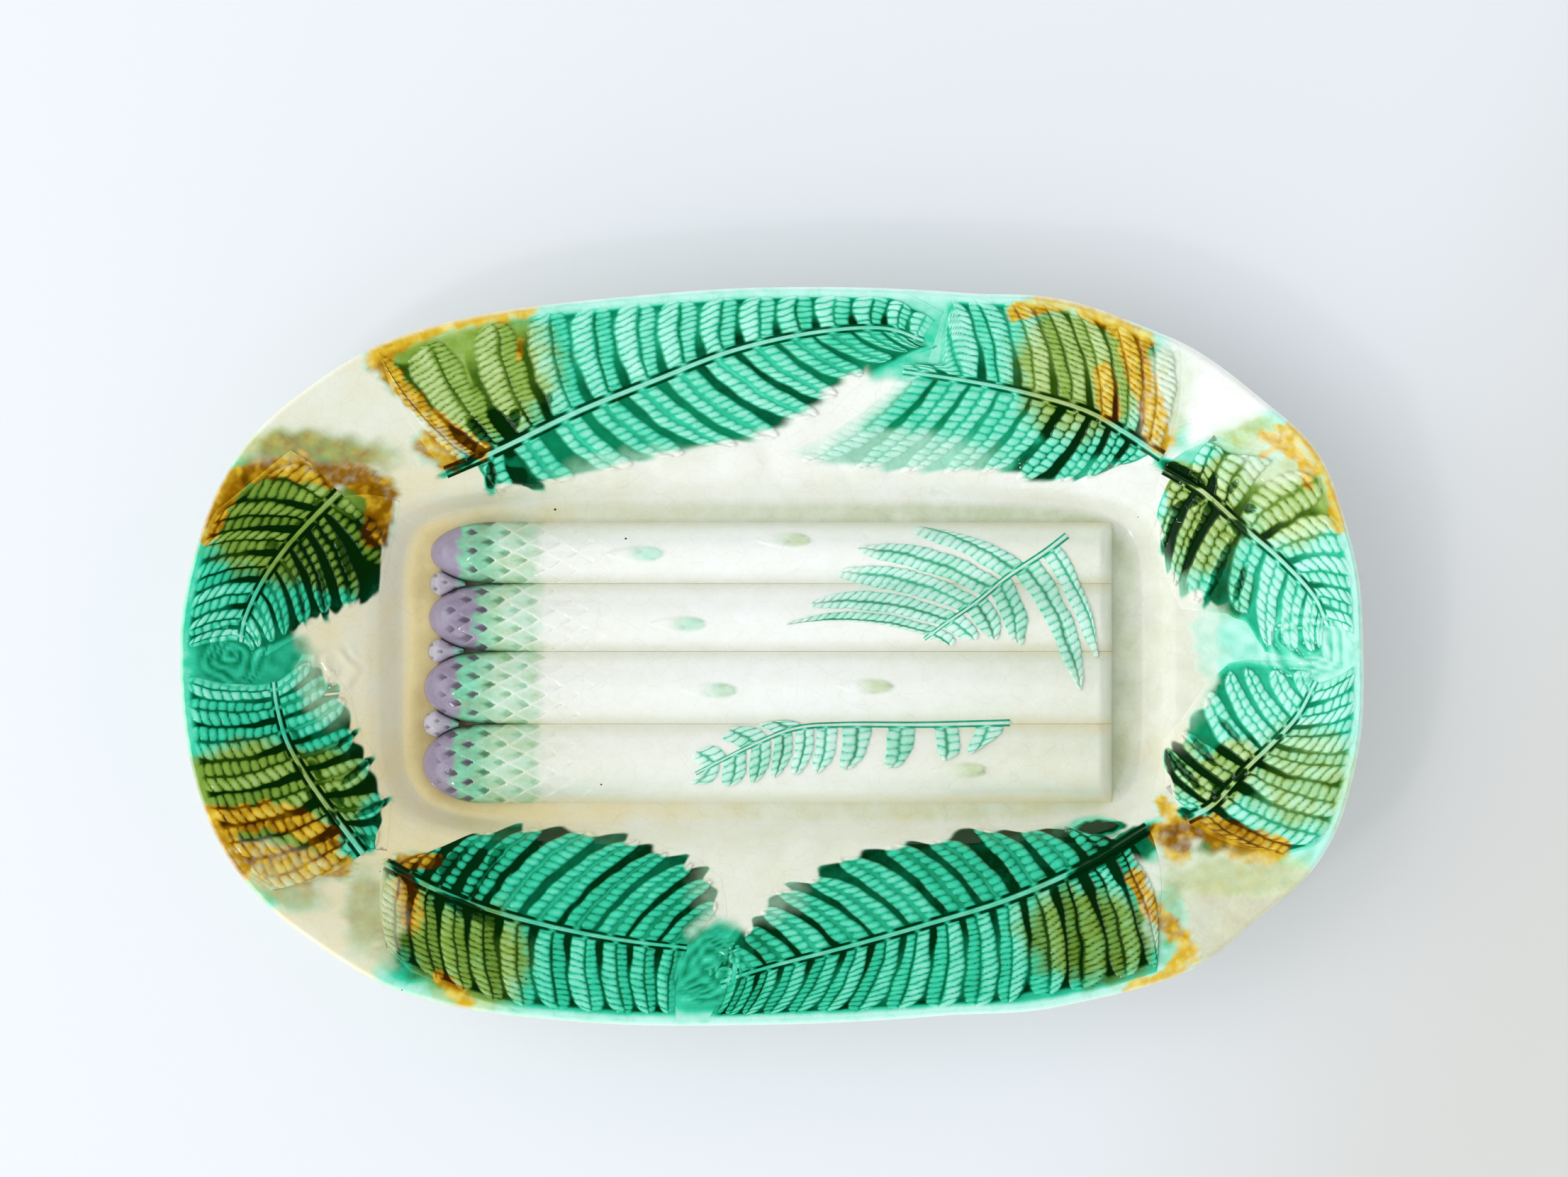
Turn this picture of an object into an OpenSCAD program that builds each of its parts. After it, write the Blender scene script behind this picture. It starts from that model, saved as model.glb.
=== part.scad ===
/* [Plate] */
// Length over the two rounded ends
plate_l = 300; // [290:1:320]
// Width over the two bowed long sides
plate_w = 187; // [182:1:200]
// Height of the edge above the table
plate_h = 30; // [27:0.5:34]
// Squareness of the outline, where 2 is an ellipse and more is boxier
plate_square = 2.7; // [2.5:0.1:3]
// Turn of the trimmed outline against the well, in degrees
trim_turn = 1; // [0:0.25:2]
// How far the edge swells out beside a bare corner
edge_swell = 3; // [0:0.25:4]
// Thickness of the pottery behind the rounded lip
lip_t = 3.4; // [3:0.1:4.2]

/* [Well] */
// Length of the well's flat floor
floor_l = 190; // [188:1:196]
// Width of the well's flat floor
floor_w = 83; // [81:1:86]
// Thickness of the well's floor
floor_t = 4.5; // [4:0.1:6]
// How far the well sits off centre, towards the front
well_shift = 2; // [0:0.5:3]
// Squareness of the well's outline
well_square = 7; // [6:0.5:10]

/* [Foot] */
// Height of the foot ring
foot_h = 3.5; // [3:0.25:5]
// Width of the foot ring where it rests
foot_w = 4; // [3:0.25:5]
// How much wider the foot ring is where it joins the floor
foot_flare = 1.6; // [0:0.2:2]
// Distance of the foot ring inside the edge of the well's floor
foot_inset = 7; // [5:0.5:10]
// Outer corner radius of the foot ring
foot_r = 24; // [16:1:30]

/* [Asparagus] */
// Height of the spears' crests above the floor
spear_h = 8.6; // [7.5:0.1:9.5]
// Height of the grooves between the spears above the floor
groove_h = 4.4; // [3.5:0.1:5.5]
// Joint line between neighbouring pieces of relief
joint_gap = 0.25; // [0.2:0.05:0.35]
// Moat between the spears and the long sides of the floor
moat_w = 5.2; // [4.5:0.1:6.5]
// Moat beyond the tips and beyond the cut ends
moat_end = 7; // [6:0.5:8]
// Length over which a head rounds off
head_l = 16; // [14:0.5:18]
// Length of the scaly part of each spear
scaly_l = 44; // [30:1:60]
// Distance between rows of scales
scale_row = 4.8; // [4:0.1:6]
// How far the points of the scales stand proud
scale_h = 0.6; // [0.2:0.1:0.9]
// Height of the small tips that peep out between the heads
small_tip_h = 6; // [5:0.5:7]
// Width of the small tips
small_tip_w = 7; // [5:0.5:8]
// Length of the small tips
small_tip_l = 9.5; // [7:0.5:10]

/* [Ferns] */
// Widest leaflet on the outer side of a rim frond
leaflet_w = 9; // [6:0.25:10]
// Widest leaflet on the inner side of a rim frond
inner_leaflet_w = 5.8; // [4:0.2:7]
// Height of a leaflet's ridge over the rim
leaflet_h = 1.7; // [1.2:0.1:2.2]
// Width of a frond's rib at its base
rib_w = 3; // [2:0.2:4]
// Height of a frond's rib over the rim
rib_h = 2.2; // [1.6:0.1:2.8]
// Clearance under the relief
relief_seat = 0.3; // [0.25:0.05:0.4]
// Widest leaflet of a sprig on the spears
sprig_leaflet_w = 6; // [4:0.2:7]
// Height of a sprig's ridges over the spears
sprig_h = 1.1; // [0.8:0.1:1.6]

/* [Hidden] */

// Points round the dish, over a spear's back, along a frond's rib, and round a foot corner
around = 80;
arch_n = 12;
rib_n = 12;
$fn = 64;

floor_top = foot_h + floor_t;
rise = plate_h - floor_top;
floor_back = floor_w / 2 - well_shift;
floor_front = floor_w / 2 + well_shift;
bed_l = floor_l - 2 * moat_end;
bed_w = floor_w - 2 * moat_w;
bed_mid = -well_shift;

// Swell of the edge against a plain boxy oval: degrees round the plate, share of edge_swell
swell_shares = [[-180, 0], [-165, -0.35], [-150, -0.35], [-137, 0.5], [-118, 0.1], [-90, 0],
    [-65, -0.15], [-50, 0.6], [-37, 1.1], [-28, 0.2], [-21, 0.55], [-10, 0.1], [5, 0], [14, -0.3],
    [20, -0.05], [28, -0.7], [39, -0.1], [51, 0.5], [62, -0.15], [90, 0], [118, -0.4], [140, -0.15],
    [152, -0.7], [167, -0.75], [180, 0]];

// Upper face from the floor's edge to the lip: share across the rim, share of the rise
section_shares = [[0, 0], [0.03, 0.04], [0.07, 0.12], [0.11, 0.21], [0.16, 0.285], [0.25, 0.375],
    [0.4, 0.5], [0.6, 0.672], [0.8, 0.86], [0.93, 0.975], [0.98, 1]];
nose_drop_share = 0.45;
under_shares = [0.97, 0.8, 0.6, 0.4, 0.25, 0.16, 0.07];

// Spears from the back to the front: share of the bed's width, and how far each tip reaches out
spear_w_shares = [0.22, 0.24, 0.257, 0.283];
reach_shares = [0, 0.03, 0.11, 0.13];
nose_row_shares = [0.008, 0.05, 0.13];

// Radius of a boxy oval with half sizes a and b, at a turn in degrees
function oval_r(turn, a, b, square) =
    1 / pow(pow(abs(cos(turn)) / a, square) + pow(abs(sin(turn)) / b, square), 1 / square);

// Value of a table between its entries, eased by half a cosine wave
function eased(key, table, i = 0) =
    key <= table[i + 1][0] || i == len(table) - 2
        ? let (t = (key - table[i][0]) / (table[i + 1][0] - table[i][0]))
          table[i][1] + (table[i + 1][1] - table[i][1]) * (1 - cos(180 * t)) / 2
        : eased(key, table, i + 1);

function edge_r(turn) =
    oval_r(turn - trim_turn, plate_l / 2, plate_w / 2, plate_square)
        + edge_swell * eased(turn, swell_shares);
function floor_r(turn) =
    oval_r(turn, floor_l / 2, sin(turn) > 0 ? floor_back : floor_front, well_square);

// How far out a plan point lies: 0 at the floor's edge, 1 at the plate's edge
function across(p) =
    let (turn = atan2(p.y, p.x), inner = floor_r(turn)) (norm(p) - inner) / (edge_r(turn) - inner);
function top_z(share) = floor_top + rise * lookup(share, section_shares);
function wall_t(share) = floor_t + (lip_t - floor_t) * share;

// Spear k, counted from the back: the lines between spears, its middle and its half width
function line_share(k) = k == 0 ? 0 : line_share(k - 1) + spear_w_shares[k - 1];
function line_y(k) = bed_mid + bed_w / 2 - bed_w * line_share(k);
function spear_y(k) = (line_y(k) + line_y(k + 1)) / 2;
function spear_half(k) = bed_w * spear_w_shares[k] / 2 - joint_gap / 2;
function tip_x(k) = -bed_l / 2 - head_l * reach_shares[k];

// Share of its full size that a rounded nose has at a distance behind its point
function nose(along) = sqrt(1 - pow(1 - min(max(along, 0), 1), 2));
function head(k, x) = nose((x - tip_x(k)) / head_l);

// Height of the spears' backs at a plan point
function over_spear(p, k = 0) =
    k < 3 && p.y < line_y(k + 1) ? over_spear(p, k + 1)
    : let (side = min(abs(p.y - spear_y(k)) / spear_half(k), 1))
      floor_top + groove_h + (spear_h - groove_h) * sqrt(1 - side * side);

// A plan point lifted off what it lies on: the rim, or the more strongly curved spears
function laid(p, lift, on_spears) =
    [p.x, p.y, lift + (on_spears ? over_spear(p) + relief_seat : top_z(across(p)))];

// A drawing point in plan. Its shares run along a side of the plate and across from the floor to the edge
function placed(side, s) =
    side == "back" ? [s[0] * plate_l / 2, floor_back + s[1] * (plate_w / 2 - floor_back)]
    : side == "front" ? [s[0] * plate_l / 2, -floor_front - s[1] * (plate_w / 2 - floor_front)]
    : side == "right" ? [floor_l / 2 + s[1] * (plate_l - floor_l) / 2, s[0] * plate_w / 2]
    : side == "left" ? [-floor_l / 2 - s[1] * (plate_l - floor_l) / 2, s[0] * plate_w / 2]
    : [s[0] * bed_l / 2, bed_mid + s[1] * bed_w / 2];

// A smooth curve through a list of points, at a share of the way along it
function through(points, share) =
    let (last = len(points) - 1,
         i = min(floor(share * last), last - 1),
         t = share * last - i,
         p0 = i > 0 ? points[i - 1] : 2 * points[0] - points[1],
         p1 = points[i],
         p2 = points[i + 1],
         p3 = i + 2 <= last ? points[i + 2] : 2 * points[last] - points[last - 1])
    p1 + (p2 - p0) * t / 2 + (2 * p0 - 5 * p1 + 4 * p2 - p3) * t * t / 2
        + (3 * p1 - p0 - 3 * p2 + p3) * t * t * t / 2;

// Triangles between two closed rings of n points that start at points a and b
function ring_band(a, b, n) =
    [for (i = [0 : n - 1]) let (j = (i + 1) % n) each [[a + i, a + j, b + j], [a + i, b + j, b + i]]];

// Triangles between two lines of [point, share along], each line in order
function zip(a, b, i = 0, j = 0) =
    let (end_a = i == len(a) - 1, end_b = j == len(b) - 1)
    end_a && end_b ? []
    : end_b || (!end_a && a[i + 1][1] <= b[j + 1][1])
        ? concat([[a[i][0], a[i + 1][0], b[j][0]]], zip(a, b, i + 1, j))
        : concat([[a[i][0], b[j + 1][0], b[j][0]]], zip(a, b, i, j + 1));
function flipped(faces) = [for (f = faces) [f[2], f[1], f[0]]];

// The dish: one skin of rings, over the floor and rim, round the lip and back under
function dish_ring(share, z) =
    [for (i = [0 : around - 1])
        let (t = 360 * i / around,
             turn = atan2(plate_w * sin(t), plate_l * cos(t)),
             r = floor_r(turn) + share * (edge_r(turn) - floor_r(turn)))
        [r * cos(turn), r * sin(turn), z]];

module dish_body() {
    rings = concat(
        [for (s = section_shares) dish_ring(s[0], top_z(s[0]))],
        [dish_ring(1, plate_h - lip_t * nose_drop_share)],
        [for (s = under_shares) dish_ring(s, top_z(s) - wall_t(s))],
        [dish_ring(0, foot_h)]);
    n = len(rings);
    points = concat([for (ring = rings) each ring], [[0, 0, floor_top], [0, 0, foot_h]]);
    faces = concat(
        [for (i = [0 : n - 2]) each ring_band(i * around, (i + 1) * around, around)],
        [for (i = [0 : around - 1]) [n * around, (i + 1) % around, i]],
        [for (i = [0 : around - 1])
            [n * around + 1, (n - 1) * around + i, (n - 1) * around + (i + 1) % around]]);
    color("ivory") polyhedron(points, faces);
}

// The foot: one profile carried round a rounded oblong
module foot_profile() {
    polygon([[-foot_w - foot_flare / 2, foot_h], [foot_flare / 2, foot_h],
        [0, 0], [-foot_w, 0]]);
}

module foot_ring() {
    half_l = floor_l / 2 - foot_inset;
    half_w = floor_w / 2 - foot_inset;
    color("wheat") translate([0, bed_mid, 0]) for (turn = [0, 180]) rotate(turn) {
        for (end = [0, 1]) mirror([0, end, 0])
            translate([half_l - foot_r, half_w - foot_r, 0])
                rotate_extrude(angle = 90) translate([foot_r, 0]) foot_profile();
        translate([0, half_w, 0]) rotate([90, 0, 90])
            linear_extrude(2 * (half_l - foot_r), center = true) foot_profile();
        translate([half_l, 0, 0]) rotate([90, 0, 0])
            linear_extrude(2 * (half_w - foot_r), center = true) foot_profile();
    }
}

// A rounded back over the floor: plan limits at y_low and y_high, side and crest heights, bump height
function back_ring(x, y_low, y_high, side, crest, bump, odd) =
    let (mid = (y_low + y_high) / 2, half = (y_high - y_low) / 2)
    concat([[x, y_high, floor_top]],
        [for (j = [0 : arch_n])
            let (a = 180 * j / arch_n, out = (j + odd) % 2 == 0 ? bump * sin(a) : 0)
            [x, mid + (half + out) * cos(a), floor_top + side + (crest - side + out) * sin(a)]],
        [[x, y_low, floor_top]]);

module back_skin(rings) {
    n = len(rings[0]);
    last = len(rings) - 1;
    points = [for (ring = rings) each ring];
    faces = concat(
        [for (i = [0 : last - 1]) each ring_band(i * n, (i + 1) * n, n)],
        [for (j = [1 : n - 2]) [0, j + 1, j]],
        [for (j = [1 : n - 2]) [last * n, last * n + j, last * n + j + 1]]);
    polyhedron(points, flipped(faces));
}

// A spear: a rounded nose, rows of staggered scale points that fade, and a plain stalk
module spear(k) {
    rows = floor(2 * (scaly_l - head_l / 4) / scale_row);
    xs = concat(
        [for (s = nose_row_shares) tip_x(k) + head_l * s],
        [for (i = [0 : rows]) tip_x(k) + head_l / 4 + i * scale_row / 2],
        [bed_l / 6, bed_l / 2]);
    back_skin([for (i = [0 : len(xs) - 1])
        let (x = xs[i], f = head(k, x), half = spear_half(k) * f,
             fade = i < 2 ? 0 : max(1 - (x - tip_x(k)) / (scaly_l + scale_row), 0))
        back_ring(x, spear_y(k) - half, spear_y(k) + half, groove_h * f, spear_h * f,
            scale_h * fade, i % 2)]);
}

// A small tip in the notch between two heads, as wide as the notch leaves it
module small_tip(k) {
    start = tip_x(k) - joint_gap;
    steps = 8;
    back_skin([for (i = [0 : steps])
        let (s = pow((i + 0.1) / (steps + 0.1), 1.5),
             x = start + small_tip_l * s,
             f = nose(2 * s),
             back_room = spear_half(k) * (1 - head(k, x)) - joint_gap / 2,
             front_room = spear_half(k + 1) * (1 - head(k + 1, x)) - joint_gap / 2,
             half = small_tip_w / 2)
        back_ring(x, line_y(k + 1) - min(front_room, half) * f, line_y(k + 1) + min(back_room, half) * f,
            groove_h * f / 2, small_tip_h * f * (1 - s / 3), 0, 0)]);
}

// Where leaflet i of n has its middle line, at a share out from the rib
function rib_at(rib, share) = through(rib, min(max(share, 0), 1));
function rib_dir(rib, share) =
    let (d = rib_at(rib, share + 0.01) - rib_at(rib, share - 0.01)) d / norm(d);
function rib_edge(rib, share, hand, w) =
    let (d = rib_dir(rib, share)) rib_at(rib, share) + hand * w * (1 - share / 2) / 2 * [-d.y, d.x];
function tip_at(side, tips, share) =
    placed(side, [lookup(share, [for (t = tips) [t[0], t[1]]]),
        lookup(share, [for (t = tips) [t[0], t[2]]])]);
function root_share(i, n, start) = start + (1 - start) * i / n;
function leaflet_line(side, rib, tips, hand, w, n, start, i, out) =
    let (share = root_share(i + 0.5, n, start),
         root = rib_edge(rib, share, hand, w),
         tip = tip_at(side, tips, share),
         bow = [root.y - tip.y, tip.x - root.x] * hand / 4)
    root + (tip - root) * out + bow * out * (1 - out);

// One leaflet's points: the crest of its root, sections of edge, crest and edge, and its tip
function leaflet_points(side, rib, tips, hand, w, n, start, i, sections, leaf_w, leaf_h, on_spears) =
    let (root = rib_edge(rib, root_share(i + 0.5, n, start), hand, w))
    concat([laid(root, leaf_h, on_spears)],
        [for (k = [1 : sections])
            let (out = pow(k / (sections + 0.35), 0.8),
                 own = leaflet_line(side, rib, tips, hand, w, n, start, i, out),
                 next = leaflet_line(side, rib, tips, hand, w, n, start, i < n - 1 ? i + 1 : i - 1, out),
                 gap = i < n - 1 ? next - own : own - next,
                 before = i > 0 ? own - leaflet_line(side, rib, tips, hand, w, n, start, i - 1, out) : gap,
                 taper = sqrt(1 - pow(out, 4)),
                 half_a = min(0.44, leaf_w / 2 / norm(before)) * taper,
                 half_b = min(0.44, leaf_w / 2 / norm(gap)) * taper)
            each [laid(own - before * half_a, relief_seat, on_spears),
                laid(own, leaf_h * (1 - out * out / 3), on_spears),
                laid(own + gap * half_b, relief_seat, on_spears),
                laid(own, relief_seat, on_spears)]],
        [laid(leaflet_line(side, rib, tips, hand, w, n, start, i, 1), relief_seat * 1.5, on_spears)]);

// Faces of one side of a frond: crest is the rib's crest line, edge its first edge point
function side_faces(crest, edge, n, start, sections) =
    let (per = 4 * sections + 2,
         first = edge + n + 2,
         under = [for (i = [0 : n + 1]) [edge + i, i == 0 ? 0 : root_share(i - 1, n, start)]],
         upper = concat([under[0]],
             [for (i = [0 : n - 1]) each [under[i + 1], [first + i * per, root_share(i + 0.5, n, start)]]],
             [under[n + 1]]))
    concat(flipped(zip(crest, upper)),
        [for (i = [0 : n - 1])
            let (root = first + i * per, s1 = root + 1, s2 = root + 1 + 4 * (sections - 1),
                 tip = root + per - 1, a = edge + i + 1, b = edge + i + 2)
            each concat(
                [[a, s1, s1 + 1], [a, s1 + 1, root], [root, s1 + 1, s1 + 2], [root, s1 + 2, b]],
                [[b, s1 + 2, s1 + 3], [b, s1 + 3, a], [a, s1 + 3, s1]],
                [for (k = [0 : sections - 2]) each
                    flipped(ring_band(s1 + 4 * k, s1 + 4 * (k + 1), 4))],
                [for (k = [0 : 3]) [s2 + k, tip, s2 + (k + 1) % 4]])]);

// A frond or sprig as one closed skin: a ridged rib with a row of ridged leaflets down each side.
// Each row is [table of tips, number of leaflets, share of the rib before the first one, widest leaflet].
module frond(side, rib_table, left, right, sections, w, h, leaf_h) {
    on_spears = side == "bed";
    rib = [for (s = rib_table) placed(side, s)];
    hands = [1, -1];
    rows = [left, right];
    counts = [for (row = rows) row[1] + 2 + row[1] * (4 * sections + 2)];
    edges = [rib_n + 1, rib_n + 1 + counts[0]];
    crest = [for (i = [0 : rib_n]) [i, i / rib_n]];
    last = edges[1] + counts[1];
    tip = 2 * rib_at(rib, 1) - rib_at(rib, 0.97);
    points = concat(
        [for (c = crest) laid(rib_at(rib, c[1]), h * (1 - c[1] / 3), on_spears)],
        [for (m = [0, 1]) let (row = rows[m], n = row[1], start = row[2]) each concat(
            [for (i = [0 : n + 1]) let (share = i == 0 ? 0 : root_share(i - 1, n, start))
                laid(rib_edge(rib, share, hands[m], w), relief_seat, on_spears)],
            [for (i = [0 : n - 1])
                each leaflet_points(side, rib, row[0], hands[m], w, n, start, i, sections,
                    row[3], leaf_h, on_spears)])],
        [laid(tip, relief_seat * 1.5, on_spears)]);
    under = [for (m = [0, 1]) let (n = rows[m][1], start = rows[m][2])
        [for (i = [0 : n + 1]) [edges[m] + i, i == 0 ? 0 : root_share(i - 1, n, start)]]];
    ends = [under[0][rows[0][1] + 1][0], rib_n, under[1][rows[1][1] + 1][0]];
    faces = concat(
        side_faces(crest, edges[0], rows[0][1], rows[0][2], sections),
        flipped(side_faces(crest, edges[1], rows[1][1], rows[1][2], sections)),
        flipped(zip(under[0], under[1])),
        [[edges[0], 0, edges[1]]],
        [[ends[0], last, ends[1]], [ends[1], last, ends[2]], [ends[2], last, ends[0]]]);
    polyhedron(points, faces);
}

module rim_frond(side, rib_table, left, right) {
    frond(side, rib_table, left, right, 4, rib_w, rib_h, leaflet_h);
}

module sprig(rib_table, left, right) {
    frond("bed", rib_table, left, right, 6, rib_w / 2, sprig_h * 1.3, sprig_h);
}

// Ribs and leaflet tips are drawn as shares: ribs as [along, across] from the base,
// tips as [share of the rib at the root, along, across].
back_left_rib_shares = [[-0.56, 0.13], [-0.467, 0.24], [-0.333, 0.417], [-0.2, 0.565], [-0.067, 0.704],
    [0.067, 0.787], [0.187, 0.81], [0.26, 0.75]];
back_left_outer_shares = [[0.09, -0.66, 0.68], [0.13, -0.6, 0.69], [0.17, -0.53, 0.76], [0.2, -0.487, 0.8],
    [0.235, -0.437, 0.84], [0.27, -0.387, 0.87], [0.32, -0.333, 0.89], [0.43, -0.213, 0.92],
    [0.57, -0.067, 0.945], [0.72, 0.067, 0.955], [0.86, 0.2, 0.95], [1, 0.28, 0.84]];
back_left_inner_shares = [[0.12, -0.473, 0.06], [0.17, -0.393, 0.07], [0.24, -0.287, 0.13],
    [0.32, -0.18, 0.2], [0.39, -0.087, 0.25], [0.46, -0.007, 0.28], [0.56, 0.087, 0.42],
    [0.64, 0.12, 0.53], [0.71, 0.17, 0.62], [0.79, 0.22, 0.69], [0.9, 0.25, 0.72], [1, 0.27, 0.73]];

back_right_rib_shares = [[0.667, 0.204], [0.6, 0.324], [0.533, 0.426], [0.433, 0.509], [0.333, 0.565],
    [0.22, 0.61]];
back_right_outer_shares = [[0, 0.693, 0.71], [0.1, 0.633, 0.77], [0.22, 0.58, 0.81], [0.3, 0.533, 0.86],
    [0.4, 0.487, 0.9], [0.5, 0.44, 0.92], [0.6, 0.4, 0.925], [0.7, 0.347, 0.93], [0.8, 0.307, 0.93],
    [0.84, 0.285, 0.64], [1, 0.215, 0.64]];
back_right_inner_shares = [[0.1, 0.593, 0.17], [0.2, 0.547, 0.11], [0.3, 0.507, 0.093], [0.4, 0.44, 0.083],
    [0.47, 0.4, 0.13], [0.57, 0.347, 0.14], [0.67, 0.28, 0.13], [0.78, 0.2, 0.14], [0.87, 0.133, 0.157],
    [0.97, 0.04, 0.194], [1, 0.02, 0.24]];

right_back_rib_shares = [[0.513, 0.09], [0.449, 0.273], [0.353, 0.455], [0.257, 0.636], [0.16, 0.78],
    [0.075, 0.84]];
right_back_outer_shares = [[0.13, 0.58, 0.29], [0.27, 0.545, 0.42], [0.35, 0.535, 0.6], [0.42, 0.48, 0.78],
    [0.5, 0.385, 0.86], [0.56, 0.326, 0.91], [0.62, 0.267, 0.93], [0.7, 0.2, 0.94], [0.8, 0.139, 0.945],
    [0.93, 0.08, 0.95], [1, 0.055, 0.95]];
right_back_inner_shares = [[0.08, 0.38, 0.07], [0.18, 0.23, 0.12], [0.32, 0.15, 0.19], [0.42, 0.139, 0.373],
    [0.49, 0.112, 0.473], [0.57, 0.032, 0.555], [0.66, 0.021, 0.636], [0.74, 0.01, 0.71],
    [0.84, 0.015, 0.78], [1, 0.03, 0.82]];

right_front_rib_shares = [[-0.449, 0.2], [-0.406, 0.327], [-0.31, 0.473], [-0.235, 0.6], [-0.16, 0.709],
    [-0.065, 0.79]];
right_front_inner_shares = [[0.1, -0.385, 0.145], [0.25, -0.257, 0.118], [0.38, -0.203, 0.2],
    [0.48, -0.1, 0.309], [0.6, -0.043, 0.409], [0.72, -0.035, 0.49], [0.82, -0.04, 0.6],
    [0.93, -0.04, 0.71], [1, -0.04, 0.77]];
right_front_outer_shares = [[0.12, -0.535, 0.6], [0.22, -0.513, 0.73], [0.31, -0.455, 0.855],
    [0.42, -0.385, 0.9], [0.49, -0.32, 0.93], [0.6, -0.257, 0.945], [0.68, -0.187, 0.955],
    [0.8, -0.123, 0.955], [0.9, -0.059, 0.955], [1, -0.025, 0.95]];

front_right_rib_shares = [[0.647, 0.01], [0.533, 0.21], [0.4, 0.38], [0.267, 0.5], [0.133, 0.61], [0, 0.71],
    [-0.09, 0.79]];
front_right_outer_shares = [[0.03, 0.66, 0.4], [0.09, 0.65, 0.69], [0.14, 0.607, 0.73], [0.18, 0.567, 0.77],
    [0.22, 0.513, 0.81], [0.27, 0.473, 0.83], [0.31, 0.42, 0.86], [0.38, 0.367, 0.89], [0.46, 0.287, 0.9],
    [0.54, 0.2, 0.91], [0.62, 0.12, 0.92], [0.73, 0.033, 0.93], [0.83, -0.035, 0.94], [0.93, -0.08, 0.94],
    [1, -0.1, 0.93]];
front_right_inner_shares = [[0.12, 0.52, 0.03], [0.18, 0.453, 0.03], [0.24, 0.4, 0.04], [0.29, 0.34, 0.02],
    [0.35, 0.28, 0.09], [0.42, 0.213, 0.1], [0.5, 0.12, 0.17], [0.58, 0.067, 0.28], [0.66, 0.01, 0.34],
    [0.75, -0.02, 0.45], [0.83, -0.05, 0.57], [0.92, -0.08, 0.69], [1, -0.1, 0.76]];

front_left_rib_shares = [[-0.66, 0.19], [-0.567, 0.33], [-0.467, 0.44], [-0.347, 0.53], [-0.24, 0.586],
    [-0.14, 0.62]];
front_left_inner_shares = [[0.08, -0.587, 0.14], [0.17, -0.513, 0.05], [0.27, -0.433, 0.02],
    [0.37, -0.36, 0.03], [0.48, -0.25, 0.06], [0.6, -0.193, 0.13], [0.72, -0.14, 0.19], [0.85, -0.1, 0.29],
    [0.95, -0.093, 0.41], [1, -0.093, 0.5]];
front_left_outer_shares = [[0.04, -0.653, 0.57], [0.1, -0.613, 0.69], [0.17, -0.567, 0.75],
    [0.27, -0.52, 0.81], [0.37, -0.467, 0.86], [0.46, -0.42, 0.89], [0.55, -0.367, 0.91],
    [0.65, -0.307, 0.92], [0.77, -0.24, 0.93], [0.9, -0.19, 0.93], [1, -0.16, 0.93]];

left_front_rib_shares = [[-0.545, 0.164], [-0.449, 0.29], [-0.342, 0.418], [-0.235, 0.518],
    [-0.139, 0.564], [-0.07, 0.58]];
left_front_outer_shares = [[0.06, -0.63, 0.53], [0.14, -0.577, 0.67], [0.26, -0.49, 0.78],
    [0.34, -0.438, 0.836], [0.46, -0.364, 0.89], [0.58, -0.289, 0.918], [0.68, -0.209, 0.945],
    [0.8, -0.134, 0.95], [0.95, -0.065, 0.95], [1, -0.05, 0.94]];
left_front_inner_shares = [[0.06, -0.53, 0.11], [0.24, -0.4, 0.08], [0.38, -0.29, 0.155],
    [0.52, -0.214, 0.227], [0.64, -0.13, 0.255], [0.78, -0.064, 0.33], [0.92, -0.02, 0.42],
    [1, -0.02, 0.48]];

left_back_rib_shares = [[0.449, 0.273], [0.374, 0.4], [0.289, 0.527], [0.193, 0.636], [0.096, 0.709],
    [0.035, 0.725]];
left_back_outer_shares = [[0.03, 0.545, 0.45], [0.08, 0.5, 0.56], [0.18, 0.4, 0.79], [0.28, 0.33, 0.86],
    [0.4, 0.283, 0.9], [0.48, 0.22, 0.92], [0.6, 0.155, 0.935], [0.73, 0.09, 0.945], [0.88, 0.04, 0.95],
    [1, 0.02, 0.94]];
left_back_inner_shares = [[0.02, 0.43, 0.05], [0.12, 0.18, 0.11], [0.23, 0.123, 0.264],
    [0.33, 0.118, 0.355], [0.45, 0.086, 0.436], [0.55, 0.06, 0.52], [0.68, 0.04, 0.58], [0.8, 0.025, 0.64],
    [1, 0.01, 0.68]];

// The sprigs on the spears: shares of the spear bed's half length and half width
sprig_upper_rib_shares = [[0.864, 0.906], [0.795, 0.782], [0.693, 0.617], [0.602, 0.438], [0.511, 0.286],
    [0.443, 0.163]];
sprig_upper_left_shares = [[0.157, 0.955, 0.05], [0.31, 0.9, -0.19], [0.463, 0.716, 0.14],
    [0.617, 0.648, 0.163], [0.77, 0.591, 0.163], [0.923, 0.52, 0.12]];
sprig_upper_right_shares = [[0.37, 0.43, 0.97], [0.51, 0.25, 0.81], [0.65, 0.2, 0.64], [0.79, 0.114, 0.42],
    [0.93, 0.045, 0.27]];
sprig_lower_rib_shares = [[0.705, -0.424], [0.455, -0.438], [0.205, -0.438], [0.068, -0.466],
    [-0.068, -0.595], [-0.227, -0.788]];
sprig_lower_left_shares = [[0.02, 0.625, -0.58], [0.09, 0.568, -0.66], [0.17, 0.5, -0.69],
    [0.24, 0.375, -0.745], [0.34, 0.239, -0.745], [0.43, 0.148, -0.775], [0.63, 0.023, -0.8],
    [0.8, -0.08, -0.87], [0.9, -0.16, -0.88], [1, -0.28, -0.84]];
sprig_lower_right_shares = [[0.6, 0.02, -0.41], [0.75, -0.11, -0.45], [0.9, -0.2, -0.6], [1, -0.26, -0.68]];

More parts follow.
